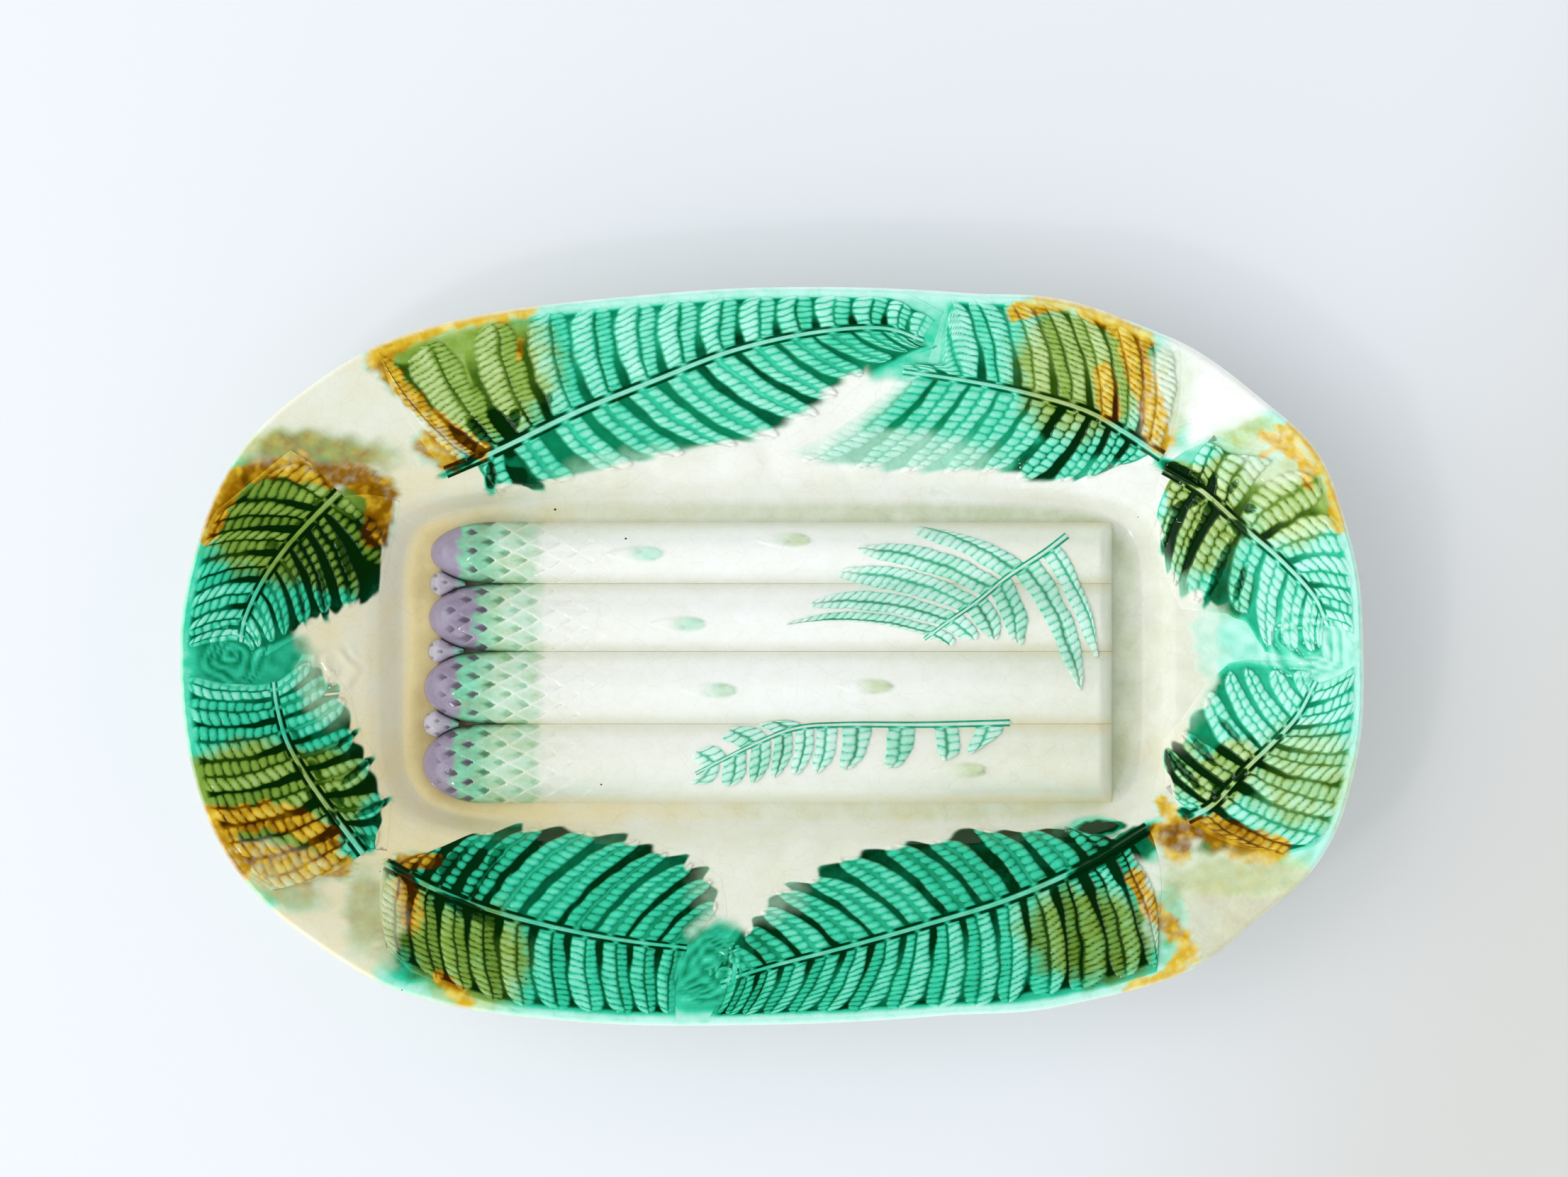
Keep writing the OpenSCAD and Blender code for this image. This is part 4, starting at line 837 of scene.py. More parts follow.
# One frond: steps along its rib, how much its glaze is deepened and how far its pale places are filled, and
# the edge of its glaze in the slope: share out, how much farther in the grooves, and softness
fronds = {
    "frondBackLeft": {
        "node": "frond_back_left", "side": "back", "steps": 460, "depth": 1.08, "veil": 0.06,
        "edge": (0.87, 0.06, 0.07),
        "rib": [[-0.56, 0.13], [-0.467, 0.24], [-0.333, 0.417], [-0.2, 0.565], [-0.067, 0.704],
                [0.067, 0.787], [0.187, 0.81], [0.26, 0.75]],
        "left": {"look": rungs, "count": 14, "start": 0.04, "tips": [
            [0.09, -0.66, 0.68], [0.13, -0.6, 0.69], [0.17, -0.53, 0.76], [0.2, -0.487, 0.8],
            [0.235, -0.437, 0.84], [0.27, -0.387, 0.87], [0.32, -0.333, 0.89], [0.43, -0.213, 0.92],
            [0.57, -0.067, 0.945], [0.72, 0.067, 0.955], [0.86, 0.2, 0.95], [1, 0.28, 0.84]]},
        "right": {"look": beads, "count": 13, "start": 0.09, "tips": [
            [0.12, -0.473, 0.06], [0.17, -0.393, 0.07], [0.24, -0.287, 0.13], [0.32, -0.18, 0.2],
            [0.39, -0.087, 0.25], [0.46, -0.007, 0.28], [0.56, 0.087, 0.42], [0.64, 0.12, 0.53],
            [0.71, 0.17, 0.62], [0.79, 0.22, 0.69], [0.9, 0.25, 0.72], [1, 0.27, 0.73]]}},
    "frondBackRight": {
        "node": "frond_back_right", "side": "back", "steps": 360, "depth": 1.0, "veil": 0.1,
        "edge": (0.93, 0.05, 0.06),
        "rib": [[0.667, 0.204], [0.6, 0.324], [0.533, 0.426], [0.433, 0.509], [0.333, 0.565], [0.22, 0.61]],
        "left": {"look": blocks, "count": 9, "start": 0.06, "tips": [
            [0.1, 0.593, 0.17], [0.2, 0.547, 0.11], [0.3, 0.507, 0.093], [0.4, 0.44, 0.083],
            [0.47, 0.4, 0.13], [0.57, 0.347, 0.14], [0.67, 0.28, 0.13], [0.78, 0.2, 0.14],
            [0.87, 0.133, 0.157], [0.97, 0.04, 0.194], [1, 0.02, 0.24]]},
        "right": {"look": rungs, "count": 8, "start": 0.02, "tips": [
            [0, 0.693, 0.71], [0.1, 0.633, 0.77], [0.22, 0.58, 0.81], [0.3, 0.533, 0.86],
            [0.4, 0.487, 0.9], [0.5, 0.44, 0.92], [0.6, 0.4, 0.925], [0.7, 0.347, 0.93],
            [0.8, 0.307, 0.93], [0.84, 0.285, 0.64], [1, 0.215, 0.64]]}},
    "frondRightBack": {
        "node": "frond_right_back", "side": "right", "steps": 300, "depth": 0.95, "veil": 0.0,
        "edge": (0.88, 0.16, 0.04),
        "rib": [[0.513, 0.09], [0.449, 0.273], [0.353, 0.455], [0.257, 0.636], [0.16, 0.78], [0.075, 0.84]],
        "left": {"look": squares, "count": 7, "start": 0.1, "tips": [
            [0.13, 0.58, 0.29], [0.27, 0.545, 0.42], [0.35, 0.535, 0.6], [0.42, 0.48, 0.78],
            [0.5, 0.385, 0.86], [0.56, 0.326, 0.91], [0.62, 0.267, 0.93], [0.7, 0.2, 0.94],
            [0.8, 0.139, 0.945], [0.93, 0.08, 0.95], [1, 0.055, 0.95]]},
        "right": {"look": blocks, "count": 8, "start": 0.06, "tips": [
            [0.08, 0.38, 0.07], [0.18, 0.23, 0.12], [0.32, 0.15, 0.19], [0.42, 0.139, 0.373],
            [0.49, 0.112, 0.473], [0.57, 0.032, 0.555], [0.66, 0.021, 0.636], [0.74, 0.01, 0.71],
            [0.84, 0.015, 0.78], [1, 0.03, 0.82]]}},
    "frondRightFront": {
        "node": "frond_right_front", "side": "right", "steps": 290, "depth": 0.95, "veil": 0.02,
        "edge": (0.88, 0.14, 0.04),
        "rib": [[-0.449, 0.2], [-0.406, 0.327], [-0.31, 0.473], [-0.235, 0.6], [-0.16, 0.709],
                [-0.065, 0.79]],
        "left": {"look": blocks, "count": 8, "start": 0.06, "tips": [
            [0.1, -0.385, 0.145], [0.25, -0.257, 0.118], [0.38, -0.203, 0.2], [0.48, -0.1, 0.309],
            [0.6, -0.043, 0.409], [0.72, -0.035, 0.49], [0.82, -0.04, 0.6], [0.93, -0.04, 0.71],
            [1, -0.04, 0.77]]},
        "right": {"look": squares, "count": 7, "start": 0.06, "tips": [
            [0.12, -0.535, 0.6], [0.22, -0.513, 0.73], [0.31, -0.455, 0.855], [0.42, -0.385, 0.9],
            [0.49, -0.32, 0.93], [0.6, -0.257, 0.945], [0.68, -0.187, 0.955], [0.8, -0.123, 0.955],
            [0.9, -0.059, 0.955], [1, -0.025, 0.95]]}},
    "frondFrontRight": {
        "node": "frond_front_right", "side": "front", "steps": 450, "depth": 1.35, "veil": 0.17,
        "edge": (0.94, 0.12, 0.025),
        "rib": [[0.647, 0.01], [0.533, 0.21], [0.4, 0.38], [0.267, 0.5], [0.133, 0.61], [0, 0.71],
                [-0.09, 0.79]],
        "left": {"look": rungs, "count": 15, "start": 0.05, "tips": [
            [0.03, 0.66, 0.4], [0.09, 0.65, 0.69], [0.14, 0.607, 0.73], [0.18, 0.567, 0.77],
            [0.22, 0.513, 0.81], [0.27, 0.473, 0.83], [0.31, 0.42, 0.86], [0.38, 0.367, 0.89],
            [0.46, 0.287, 0.9], [0.54, 0.2, 0.91], [0.62, 0.12, 0.92], [0.73, 0.033, 0.93],
            [0.83, -0.035, 0.94], [0.93, -0.08, 0.94], [1, -0.1, 0.93]]},
        "right": {"look": beads, "count": 12, "start": 0.08, "tips": [
            [0.12, 0.52, 0.03], [0.18, 0.453, 0.03], [0.24, 0.4, 0.04], [0.29, 0.34, 0.02],
            [0.35, 0.28, 0.09], [0.42, 0.213, 0.1], [0.5, 0.12, 0.17], [0.58, 0.067, 0.28],
            [0.66, 0.01, 0.34], [0.75, -0.02, 0.45], [0.83, -0.05, 0.57], [0.92, -0.08, 0.69],
            [1, -0.1, 0.76]]}},
    "frondFrontLeft": {
        "node": "frond_front_left", "side": "front", "steps": 360, "depth": 1.35, "veil": 0.2,
        "edge": (0.94, 0.12, 0.025),
        "rib": [[-0.66, 0.19], [-0.567, 0.33], [-0.467, 0.44], [-0.347, 0.53], [-0.24, 0.586],
                [-0.14, 0.62]],
        "left": {"look": beads, "count": 9, "start": 0.04, "tips": [
            [0.08, -0.587, 0.14], [0.17, -0.513, 0.05], [0.27, -0.433, 0.02], [0.37, -0.36, 0.03],
            [0.48, -0.25, 0.06], [0.6, -0.193, 0.13], [0.72, -0.14, 0.19], [0.85, -0.1, 0.29],
            [0.95, -0.093, 0.41], [1, -0.093, 0.5]]},
        "right": {"look": rungs, "count": 10, "start": 0.02, "tips": [
            [0.04, -0.653, 0.57], [0.1, -0.613, 0.69], [0.17, -0.567, 0.75], [0.27, -0.52, 0.81],
            [0.37, -0.467, 0.86], [0.46, -0.42, 0.89], [0.55, -0.367, 0.91], [0.65, -0.307, 0.92],
            [0.77, -0.24, 0.93], [0.9, -0.19, 0.93], [1, -0.16, 0.93]]}},
    "frondLeftFront": {
        "node": "frond_left_front", "side": "left", "steps": 290, "depth": 1.45, "veil": 0.15,
        "edge": (0.94, 0.1, 0.03),
        "rib": [[-0.545, 0.164], [-0.449, 0.29], [-0.342, 0.418], [-0.235, 0.518], [-0.139, 0.564],
                [-0.07, 0.58]],
        "left": {"look": squares, "count": 7, "start": 0.03, "tips": [
            [0.06, -0.63, 0.53], [0.14, -0.577, 0.67], [0.26, -0.49, 0.78], [0.34, -0.438, 0.836],
            [0.46, -0.364, 0.89], [0.58, -0.289, 0.918], [0.68, -0.209, 0.945], [0.8, -0.134, 0.95],
            [0.95, -0.065, 0.95], [1, -0.05, 0.94]]},
        "right": {"look": beads, "count": 7, "start": 0.03, "tips": [
            [0.06, -0.53, 0.11], [0.24, -0.4, 0.08], [0.38, -0.29, 0.155], [0.52, -0.214, 0.227],
            [0.64, -0.13, 0.255], [0.78, -0.064, 0.33], [0.92, -0.02, 0.42], [1, -0.02, 0.48]]}},
    "frondLeftBack": {
        "node": "frond_left_back", "side": "left", "steps": 290, "depth": 1.45, "veil": 0.17,
        "edge": (0.96, 0.08, 0.03),
        "rib": [[0.449, 0.273], [0.374, 0.4], [0.289, 0.527], [0.193, 0.636], [0.096, 0.709],
                [0.035, 0.725]],
        "left": {"look": beads, "count": 8, "start": 0.02, "tips": [
            [0.02, 0.43, 0.05], [0.12, 0.18, 0.11], [0.23, 0.123, 0.264], [0.33, 0.118, 0.355],
            [0.45, 0.086, 0.436], [0.55, 0.06, 0.52], [0.68, 0.04, 0.58], [0.8, 0.025, 0.64],
            [1, 0.01, 0.68]]},
        "right": {"look": squares, "count": 7, "start": 0.02, "tips": [
            [0.03, 0.545, 0.45], [0.08, 0.5, 0.56], [0.18, 0.4, 0.79], [0.28, 0.33, 0.86],
            [0.4, 0.283, 0.9], [0.48, 0.22, 0.92], [0.6, 0.155, 0.935], [0.73, 0.09, 0.945],
            [0.88, 0.04, 0.95], [1, 0.02, 0.94]]}},
}

sprigLook = dict(rungs, halfNear=0.44, halfFar=0.49, wide=7.0, blunt=4, stretch=1.0, veinAt=0.0,
                 veinWide=0.18, veinPool=0.6, pitches=(2.2, 2.2), slant=0.15, crown=0.3, rows=(0.45, 0.4),
                 pools=(0.06, 0.08), valley=(0.4, 0.4), groovePools=(0.4, 0.16, 0.1), vary=0.3)
sprigs = {
    "sprigUpper": {
        "node": "sprig_upper", "side": "bed", "steps": 310, "depth": 1.0, "veil": 0.0, "edge": (0.9, 0, 0.1),
        "rib": [[0.864, 0.906], [0.795, 0.782], [0.693, 0.617], [0.602, 0.438], [0.511, 0.286],
                [0.443, 0.163]],
        "left": {"look": sprigLook, "count": 6, "start": 0.08, "tips": [
            [0.157, 0.955, 0.05], [0.31, 0.9, -0.19], [0.463, 0.716, 0.14], [0.617, 0.648, 0.163],
            [0.77, 0.591, 0.163], [0.923, 0.52, 0.12]]},
        "right": {"look": sprigLook, "count": 5, "start": 0.3, "tips": [
            [0.37, 0.43, 0.97], [0.51, 0.25, 0.81], [0.65, 0.2, 0.64], [0.79, 0.114, 0.42],
            [0.93, 0.045, 0.27]]}},
    "sprigLower": {
        "node": "sprig_lower", "side": "bed", "steps": 330, "depth": 0.95, "veil": 0.0, "edge": (0.9, 0, 0.1),
        "rib": [[0.705, -0.424], [0.455, -0.438], [0.205, -0.438], [0.068, -0.466], [-0.068, -0.595],
                [-0.227, -0.788]],
        "left": {"look": sprigLook, "count": 10, "start": 0.01, "tips": [
            [0.02, 0.625, -0.58], [0.09, 0.568, -0.66], [0.17, 0.5, -0.69], [0.24, 0.375, -0.745],
            [0.34, 0.239, -0.745], [0.43, 0.148, -0.775], [0.63, 0.023, -0.8], [0.8, -0.08, -0.87],
            [0.9, -0.16, -0.88], [1, -0.28, -0.84]]},
        "right": {"look": sprigLook, "count": 3, "start": 0.55, "tips": [
            [0.6, 0.02, -0.41], [0.75, -0.11, -0.45], [0.9, -0.2, -0.6], [1, -0.26, -0.68]]}},
}
frondForm = {"ribWide": 3.0, "ribHigh": 1.5, "cover": 0.06, "tuck": 0.45, "bury": 1.0, "grain": 0.34,
             "past": 3.0, "lipStop": 0.98, "lipSoft": 0.6, "channelPool": 0.85}
sprigForm = dict(frondForm, ribWide=1.8, ribHigh=0.8, past=1.0, tuck=0.3, bury=0.7, channelPool=0.5)


def leafletRelief(number, out, along, pitch, look, edge, dark, seed):
    # A leaflet: two rows of beads beside a vein. Returns its height, pool depth, bead tops, glaze cover, and
    # where the leaflet itself is.
    index, c = np.floor(number), np.modf(np.clip(number, 0, None))[0]
    body = look["halfNear"] + (look["halfFar"] - look["halfNear"]) * smooth(0.02, 0.6, out)
    body = np.minimum(body * (1 - 0.16 * dark), look["wide"] / 2 / pitch)
    half = body * np.sqrt(1 - 0.98 * np.clip(out / look["stretch"], 0, 1) ** look["blunt"])
    place, veinAt = (c - 0.5) / half, look["veinAt"]
    first = place < veinAt

    def pick(key):
        return np.where(first, look[key][0], look[key][1])

    t = np.clip(np.where(first, (place + 1) / (veinAt + 1), (place - veinAt) / (1 - veinAt)), 0, 1)
    inward = np.where(first, t, 1 - t)   # 0 on the leaflet's edge, 1 on its vein
    phase = along / pick("pitches") + look["slant"] * (1 - inward) + 0.5 * first + chance(index, seed)
    square = np.abs(2 * np.clip(inward * look["inward"], 0, 1) - 1) ** look["square"]
    bead = np.sqrt(np.clip(1 - square - np.abs(2 * np.modf(phase)[0] - 1) ** 2.2, 0, 1))
    inside = (1 - smooth(0.88, 1.04, np.abs(place))) * (out < look["stretch"])
    vein = np.exp(-((place - veinAt) / look["veinWide"]) ** 2) * smooth(1.0, 0.92, out)
    crown = np.sqrt(np.clip(1 - place ** 2, 0, 1))
    height = (look["crown"] * crown + pick("rows") * bead) * inside * (1 - 0.3 * vein)

    near, middle, far = look["groovePools"]
    groove = np.interp(out, [0, 0.12, 0.45, 0.84, 0.95, 1.01, 1.12],
                       [near, near, middle, middle, far, far, 0.4 * far])
    gapNumber = np.floor(number + 0.5)
    groove = groove * (0.8 + 0.35 * chance(gapNumber, seed + 5))
    if not look["finger"]:   # a wide gap is pale in its middle
        groove = groove * (1 - 0.65 * smooth(1.6, 3.6, (1 - 2 * half) * pitch) * smooth(0.3, 0.55, out))
    groove = np.where(gapNumber < 1, np.minimum(groove, 0.3), groove)
    onVein = smooth(0.95, 1.15, inward * look["inward"])
    pool = pick("pools") + pick("valley") * (1 - bead) ** 1.05 * (1 - 0.5 * onVein)
    pool = np.maximum(pool, look["veinPool"] * vein * (0.7 + 0.5 * chance(index, seed + 2)))
    pool = pool + look["vary"] * (chance(index, seed + 7) - 0.5)
    pool = pool * inside + groove * (1 - inside)
    cover = np.ones_like(pool)
    if look["finger"]:   # the glaze ends in fingers: farther out in the grooves than on the leaflets
        finger = np.abs(np.cos(math.pi * number)) ** 3 * (0.6 + 0.8 * chance(gapNumber, seed + 3))
        stop = edge[0] + edge[1] * finger + 0.02 * np.sin(9 * number + seed)
        cover = 1 - smooth(stop - edge[2], stop + edge[2], out)
    return height, pool, inside * bead, cover, inside


def leafletNumber(u, row):   # which leaflet a share of the rib lies in, and how far through it
    return (u - row["start"]) / (1 - row["start"]) * row["count"]


def leafletRow(name, spec, form, u, root, hand, onSpears):
    # One side of a frond: rows along the rib, and lines bowed out from the rib's edge to past the tips
    row = spec["left" if hand > 0 else "right"]
    look, tips = row["look"], np.array(row["tips"], float)
    shares = np.stack([np.interp(u, tips[:, 0], tips[:, 1]), np.interp(u, tips[:, 0], tips[:, 2])], -1)
    span = onSide(spec["side"], shares) - root
    bow = np.stack([-span[:, 1], span[:, 0]], -1) * hand / 4
    length = np.linalg.norm(span, axis=1)
    steps = int(np.percentile(length, 92) * 1.06 / form["grain"])
    out = np.linspace(0, 1, steps + 1) * (1 + form["past"] / np.maximum(length, 4))[:, None]
    plan = root[:, None] + span[:, None] * out[..., None] + bow[:, None] * (out * (1 - out))[..., None]
    x, y = plan[..., 0], plan[..., 1]
    number = leafletNumber(u, row)[:, None] + 0.05 * wander(x, y, 13, 3)   # a hand-modelled wobble
    alongRib = np.gradient(plan, u, axis=0)
    outward = np.gradient(plan, axis=1)
    outward = outward / np.maximum(np.linalg.norm(outward, axis=2), 1e-6)[..., None]
    pitch = np.abs(alongRib[..., 0] * outward[..., 1] - alongRib[..., 1] * outward[..., 0])
    pitch = np.maximum(pitch * (1 - row["start"]) / row["count"], 1.0)
    dark = 0 if onSpears else strokeMask(x, y, glazeStrokes["dark"])
    along = out * length[:, None] * 1.04 + 0.35 * wander(x, y, 7, 4)
    height, pool, bead, cover, inside = leafletRelief(number, out, along, pitch, look, spec["edge"], dark,
                                                      len(name) + hand)
    present = smooth(-0.06, 0.03, number) * smooth(row["count"] + 0.02, row["count"] - 0.06, number)
    present = present * (1 - 0.8 * smooth(0.93, 1.0, u))[:, None]
    height = height * present * smooth(-0.01, 0.06, out)
    pool = 0.2 + (pool - 0.2) * present
    if look["finger"]:
        cover = cover * present
    if onSpears:
        cover = inside * present * (1 - 0.5 * smooth(0.75, 1, out)) * (0.95 - 0.32 * bead)
    order = slice(None, 0, -1) if hand > 0 else slice(1, None)
    return [values[:, order] for values in (x, y, height, pool, bead, cover, inside * present)]


def ribBand(spec, form, u, rib, ribHalf, aside, onSpears):
    # The rib: a pale double ridge with a channel each side, bridged where a leaflet joins
    r = np.linspace(1, -1, 17)
    plan = rib[:, None] + (ribHalf[:, None] * r)[..., None] * aside[:, None]
    ridge = np.sqrt(np.clip(1 - (r / 0.44) ** 2, 0, 1)) * (1 - 0.3 * np.exp(-(r / 0.13) ** 2))
    channel = smooth(0.4, 0.6, np.abs(r)) * (1 - smooth(1.0, 1.25, np.abs(r)))
    left, right = (np.clip(leafletNumber(u, spec[key]), 0, None)[:, None] for key in ("left", "right"))
    bridge = np.exp(-((np.modf(np.where(r > 0, left, right))[0] - 0.5) / 0.12) ** 2)
    fadeOut = (1 - 0.6 * smooth(0.55, 1.0, u))[:, None]
    height = form["ribHigh"] * ridge * fadeOut + 0.4 * channel * bridge
    pool = 0.06 + form["channelPool"] * channel * (1 - 0.85 * bridge) * (0.6 + 0.4 * fadeOut)
    ones = np.ones_like(pool)
    cover = ones - 0.6 * (np.abs(r) < 0.45) * onSpears
    return [plan[..., 0], plan[..., 1], height, pool, 0 * ones, cover, ones]


def shellFaces(rows, count, picks):   # the top, a coarser underside on the picked columns, and the four sides
    m, lower = len(picks), rows * count
    i, j, k = np.arange(rows - 1), np.arange(count - 1), np.arange(m - 1)
    faces = [gridFaces(rows, count), gridFaces(rows, m, lower)[:, ::-1],
             np.stack([i * count, (i + 1) * count, lower + (i + 1) * m, lower + i * m], -1),
             np.stack([lower + i * m + m - 1, lower + (i + 1) * m + m - 1,
                       (i + 1) * count + count - 1, i * count + count - 1], -1)]
    under = np.clip(np.searchsorted(picks, j, side="right") - 1, 0, m - 2)
    for row in (0, rows - 1):   # each end is fans from the underside's points, and the gaps between them
        fan = np.stack([lower + row * m + under, row * count + j + 1, row * count + j], -1)
        close = np.stack([lower + row * m + k, lower + row * m + k + 1, row * count + picks[1:]], -1)
        faces.append(np.vstack([fan, close])[:, ::(-1 if row else 1)])
    return faces


def buildFrond(name, spec, form, material, onSpears):
    # Height is the plate's or the spears' own, plus the rib's ridge and the leaflets' beads; the skin's
    # edges sink into it, and a plain underside closes the piece
    u = np.linspace(0, 1, spec["steps"] + 1)
    ribPoints = onSide(spec["side"], np.array(spec["rib"], float))
    rib = through(ribPoints, u)
    ahead = through(ribPoints, np.clip(u + 0.01, 0, 1)) - through(ribPoints, np.clip(u - 0.01, 0, 1))
    ahead = ahead / np.linalg.norm(ahead, axis=1)[:, None]
    aside = np.stack([-ahead[:, 1], ahead[:, 0]], -1)
    ribHalf = form["ribWide"] * (1 - u / 2) / 2
    parts = [leafletRow(name, spec, form, u, rib + hand * ribHalf[:, None] * aside, hand, onSpears)
             for hand in (1, -1)]
    parts.insert(1, ribBand(spec, form, u, rib, ribHalf, aside, onSpears))
    x, y, height, pool, bead, cover, leaf = (np.concatenate(values, 1) for values in zip(*parts))

    if onSpears:
        base, warm = spearSurface(x, y), spearWarmAndShade(x, y)
    else:   # no point passes the lip: it is drawn back along its own ray
        turn, radius = np.arctan2(y, x), np.hypot(x, y)
        inner = floorRadius(turn)
        limit = inner + form["lipStop"] * (edgeRadius(turn) - inner) - form["lipSoft"]
        over = np.maximum(radius - limit, 0) / form["lipSoft"]
        pulled = np.where(over > 0, limit + form["lipSoft"] * np.tanh(over), radius)
        x, y = x * pulled / radius, y * pulled / radius
        share = across(x, y)
        height = height * (1 - 0.9 * smooth(0.9, 0.965, share)) * (1 - 0.75 * whorlNear(x, y))
        base, warm = topHeight(share) + rimRelief(x, y, share), plainWarmAndShade(x, y, share)
        pool = pool - 0.13 * whorlLines(x, y)
    rows, count = x.shape
    i, j = np.arange(rows)[:, None], np.arange(count)
    sink = 1 - smooth(0, 3, np.minimum(np.minimum(j, count - 1 - j), np.minimum(i, rows - 1 - i)))
    if onSpears:   # the web between the leaflets lies just under the spears' own surface
        sink = np.maximum(sink, 1 - smooth(0.2, 0.7, leaf))
    z = base + (form["cover"] + height) * (1 - sink) - form["tuck"] * sink
    picks = np.unique(np.linspace(0, count - 1, 56 if onSpears else 9).astype(int))

    def both(top, below):   # values of the top's points and of the underside's
        return np.append(top, below[:, picks])

    points = np.stack([both(x, x), both(y, y), both(z, base - form["bury"])], -1)
    if onSpears:
        zones = {}
    else:
        zones = zoneMasks(x, y)
        ochre, olive, dark, poolDepth = (zones[key] for key in ("ochre", "olive", "dark", "poolDepth"))
        cover = np.maximum(cover * cornerCover(x, y) * (1 - 0.6 * zones["thin"]), zones["pools"])
        cover = np.maximum(cover, plainCover(x, y, zones))
        pool = np.clip(pool * spec["depth"], 0, 1) * (0.4 + 0.6 * smooth(0, 0.8, cover))
        pool = (1 - (1 - pool) * (1 - spec["veil"])) * (1 - 0.5 * zones["thin"]) * (1 - 0.25 * zones["full"])
        lip = smooth(0.93, 0.97, share)
        pool = pool * (1 - lip) + lip * eased(np.degrees(turn), lipPoolShares)
        pool = pool + 0.25 * zones["rich"] + 0.04 * ochre + 0.3 * dark * (1 - bead) * smooth(0.2, 0.5, pool)
        olive = np.maximum(olive * (0.85 + 0.4 * pool), 0.85 * dark * smooth(92, 102, np.abs(x)))
        zones = {"ochre": ochre * (0.8 + 0.4 * pool), "olive": olive, "dark": dark}
        pool = np.maximum(pool, poolDepth * (1 - 0.3 * bead))
    zones.update(cover=cover, pool=pool, bead=bead, warm=warm)
    masks = {key: both(values, values) for key, values in zones.items()}
    makePiece(name, points, shellFaces(rows, count, picks), masks, spec["node"], material)


buildDish()
buildFoot()
for k in range(4):
    buildSpear(k)
for k in range(3):
    buildSmallTip(k)
print("dish, foot and spears made")
for name, spec in fronds.items():
    buildFrond(name, spec, frondForm, fernGlaze, False)
for name, spec in sprigs.items():
    buildFrond(name, spec, sprigForm, sprigGlaze, True)
print("ferns made")


# The table, the light and the camera

studio = {
    "tableColour": (232, 236, 239), "tableShadeColour": (219, 219, 214), "tableRough": 0.9, "tableShine": 0.1,
    "tableHalf": 4, "viewWidth": 396.9, "viewCentre": (3.2, 17.1), "viewHeight": 1150.0, "sensor": 36.0,
    "roomColour": (248, 250, 255), "roomFar": 0.74, "roomNear": 1.22, "mirrorFar": 0.02, "mirrorNear": 1.5,
}

tableMaterial = bpy.data.materials.new("paleTable")
tableMaterial.use_nodes = True
tree = tableMaterial.node_tree
# The table darkens towards the right and a little towards the front: painted fall-off of the window's light
parts = addNode(tree, "SeparateXYZ", {0: addNode(tree, "TexCoord", {}).outputs["Object"]}).outputs
paintedFalloff = easedNode(tree, mathNode(tree, "MULTIPLY_ADD", parts["Y"], -0.4, parts["X"]), 0.1, 0.24)
tableColour = mixColour(tree, paintedFalloff, linear(*studio["tableColour"]), linear(*studio["tableShadeColour"]))
feed(tree, tree.nodes["Principled BSDF"], {"Base Color": tableColour, "Roughness": studio["tableRough"],
                                           "Specular IOR Level": studio["tableShine"]})
tableMesh = bpy.data.meshes.new("table")
far = studio["tableHalf"]
tableMesh.from_pydata([(-far, -far, 0), (far, -far, 0), (far, far, 0), (-far, far, 0)], [], [(0, 1, 2, 3)])
tableMesh.materials.append(tableMaterial)
table = bpy.data.objects.new("table", tableMesh)
bpy.context.scene.collection.objects.link(table)

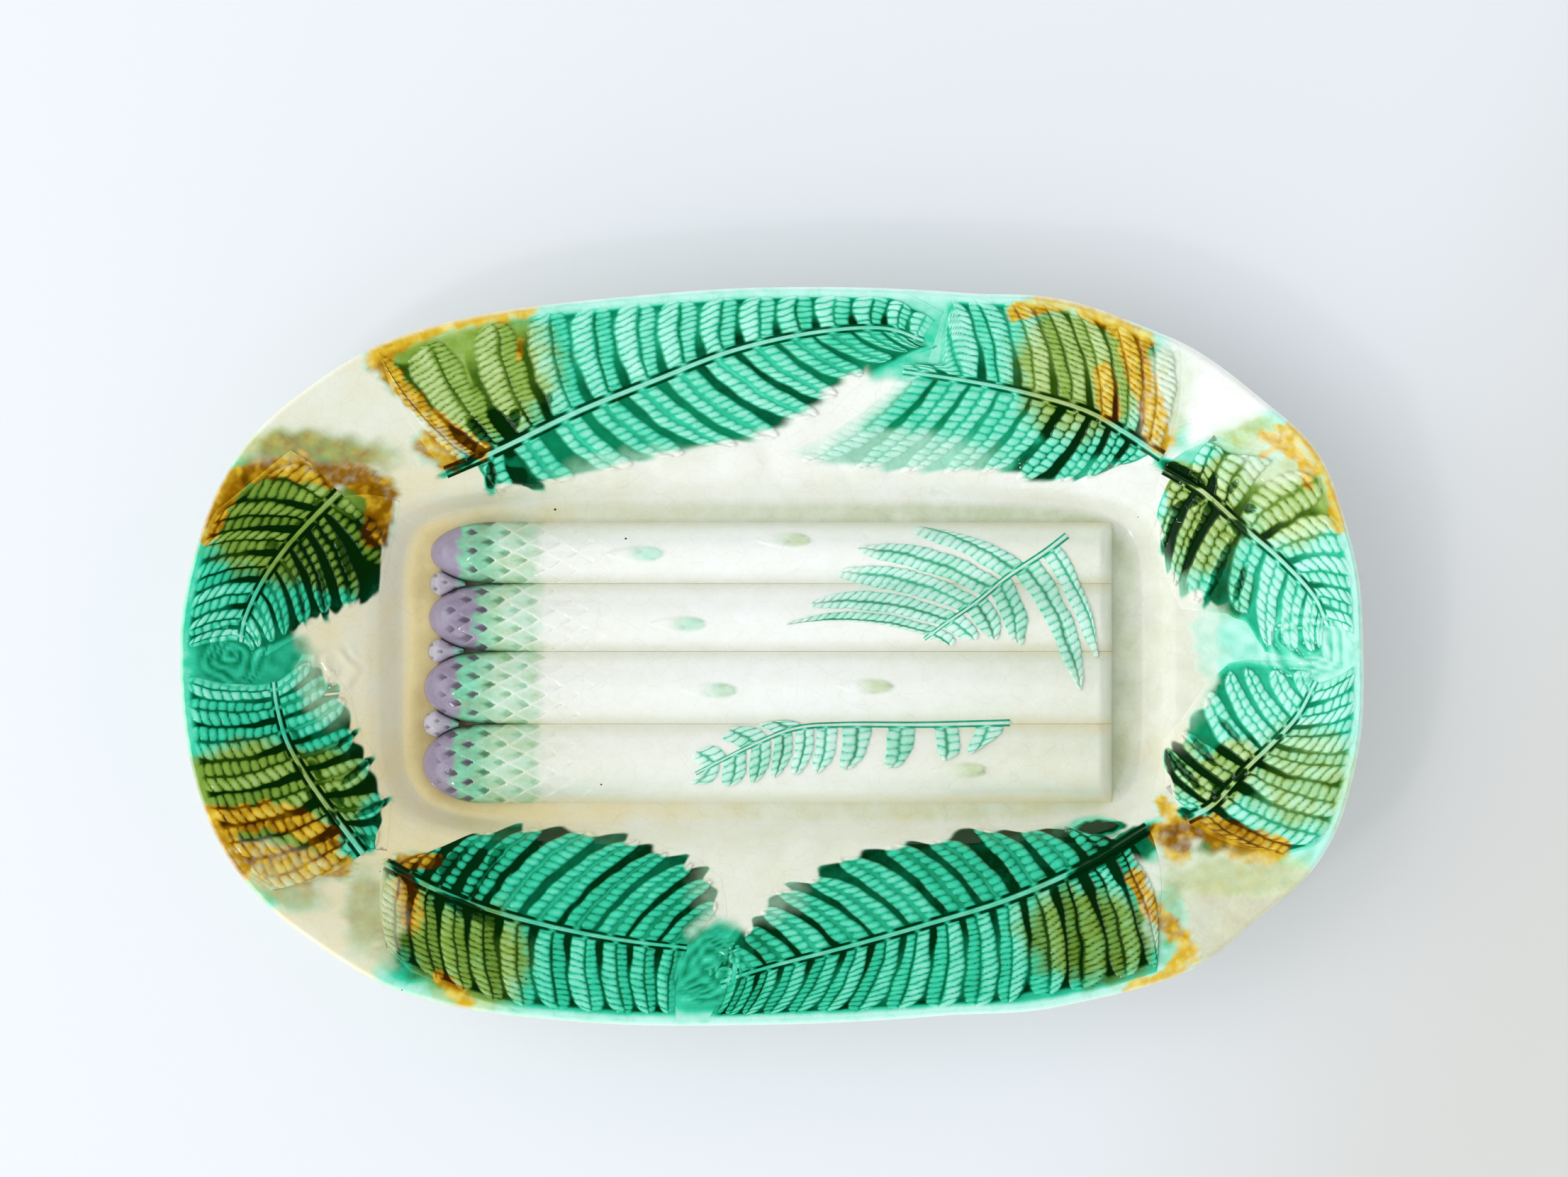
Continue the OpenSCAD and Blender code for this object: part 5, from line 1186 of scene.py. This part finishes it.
# The room: even soft light, a little brighter towards the window at the left. Reflections, as through a
# polarising filter, show a dim room with a bright band at the window.
world = bpy.data.worlds.new("softRoom")
bpy.context.scene.world = world
world.use_nodes = True
room = world.node_tree
parts = addNode(room, "SeparateXYZ", {0: addNode(room, "TexCoord", {}).outputs["Generated"]}).outputs
towards = mathNode(room, "MULTIPLY_ADD", parts["Y"], -0.45, mathNode(room, "MULTIPLY", parts["X"], -0.9))
windowSide = easedNode(room, towards, -0.6, 0.9, studio["roomFar"], studio["roomNear"])
overhead = easedNode(room, parts["Z"], 0.8, 0.97, 1.0, 0.6)
low = easedNode(room, parts["Z"], 0.0, 0.45, 2.3, 1.0)
softLight = mathNode(room, "MULTIPLY", mathNode(room, "MULTIPLY", windowSide, overhead), low)
band = easedNode(room, towards, 0.45, 0.7, studio["mirrorFar"], studio["mirrorNear"])
mirrored = mathNode(room, "MULTIPLY", band, easedNode(room, parts["Z"], 0.55, 0.75, 1.0, 0.2))
glossy = addNode(room, "LightPath", {}).outputs["Is Glossy Ray"]
strength = addNode(room, "Mix", {0: glossy, 2: softLight, 3: mirrored}).outputs[0]
feed(room, room.nodes["Background"], {"Color": linear(*studio["roomColour"]), "Strength": strength})


def areaLamp(name, place, size, watts, colour):   # a square lamp that looks at the plate's middle
    lamp = bpy.data.lights.new(name, "AREA")
    lamp.shape, lamp.size, lamp.energy, lamp.color = "SQUARE", size, watts, colour
    holder = bpy.data.objects.new(name, lamp)
    bpy.context.scene.collection.objects.link(holder)
    holder.location = place
    holder.rotation_euler = (-Vector(place)).to_track_quat("-Z", "Y").to_euler()
    return holder


windowLamp = areaLamp("window", (-1.05, 0.05, 1.0), 1.1, 5.2, (1.0, 0.99, 0.97))
windowLamp.visible_glossy = False   # the bright band of the room stands for it in the glaze
areaLamp("glint", (-0.9, -0.7, 1.2), 0.16, 2.2, (1.0, 1.0, 1.0))

camera = bpy.data.cameras.new("camera")
cameraHolder = bpy.data.objects.new("camera", camera)
bpy.context.scene.collection.objects.link(cameraHolder)
cameraHolder.location = Vector((*studio["viewCentre"], studio["viewHeight"])) * mm
camera.sensor_width = studio["sensor"]
camera.lens = studio["sensor"] * (studio["viewHeight"] - plate["height"]) / studio["viewWidth"]
bpy.context.scene.camera = cameraHolder
bpy.context.scene.view_settings.view_transform = "Standard"
print("studio made")
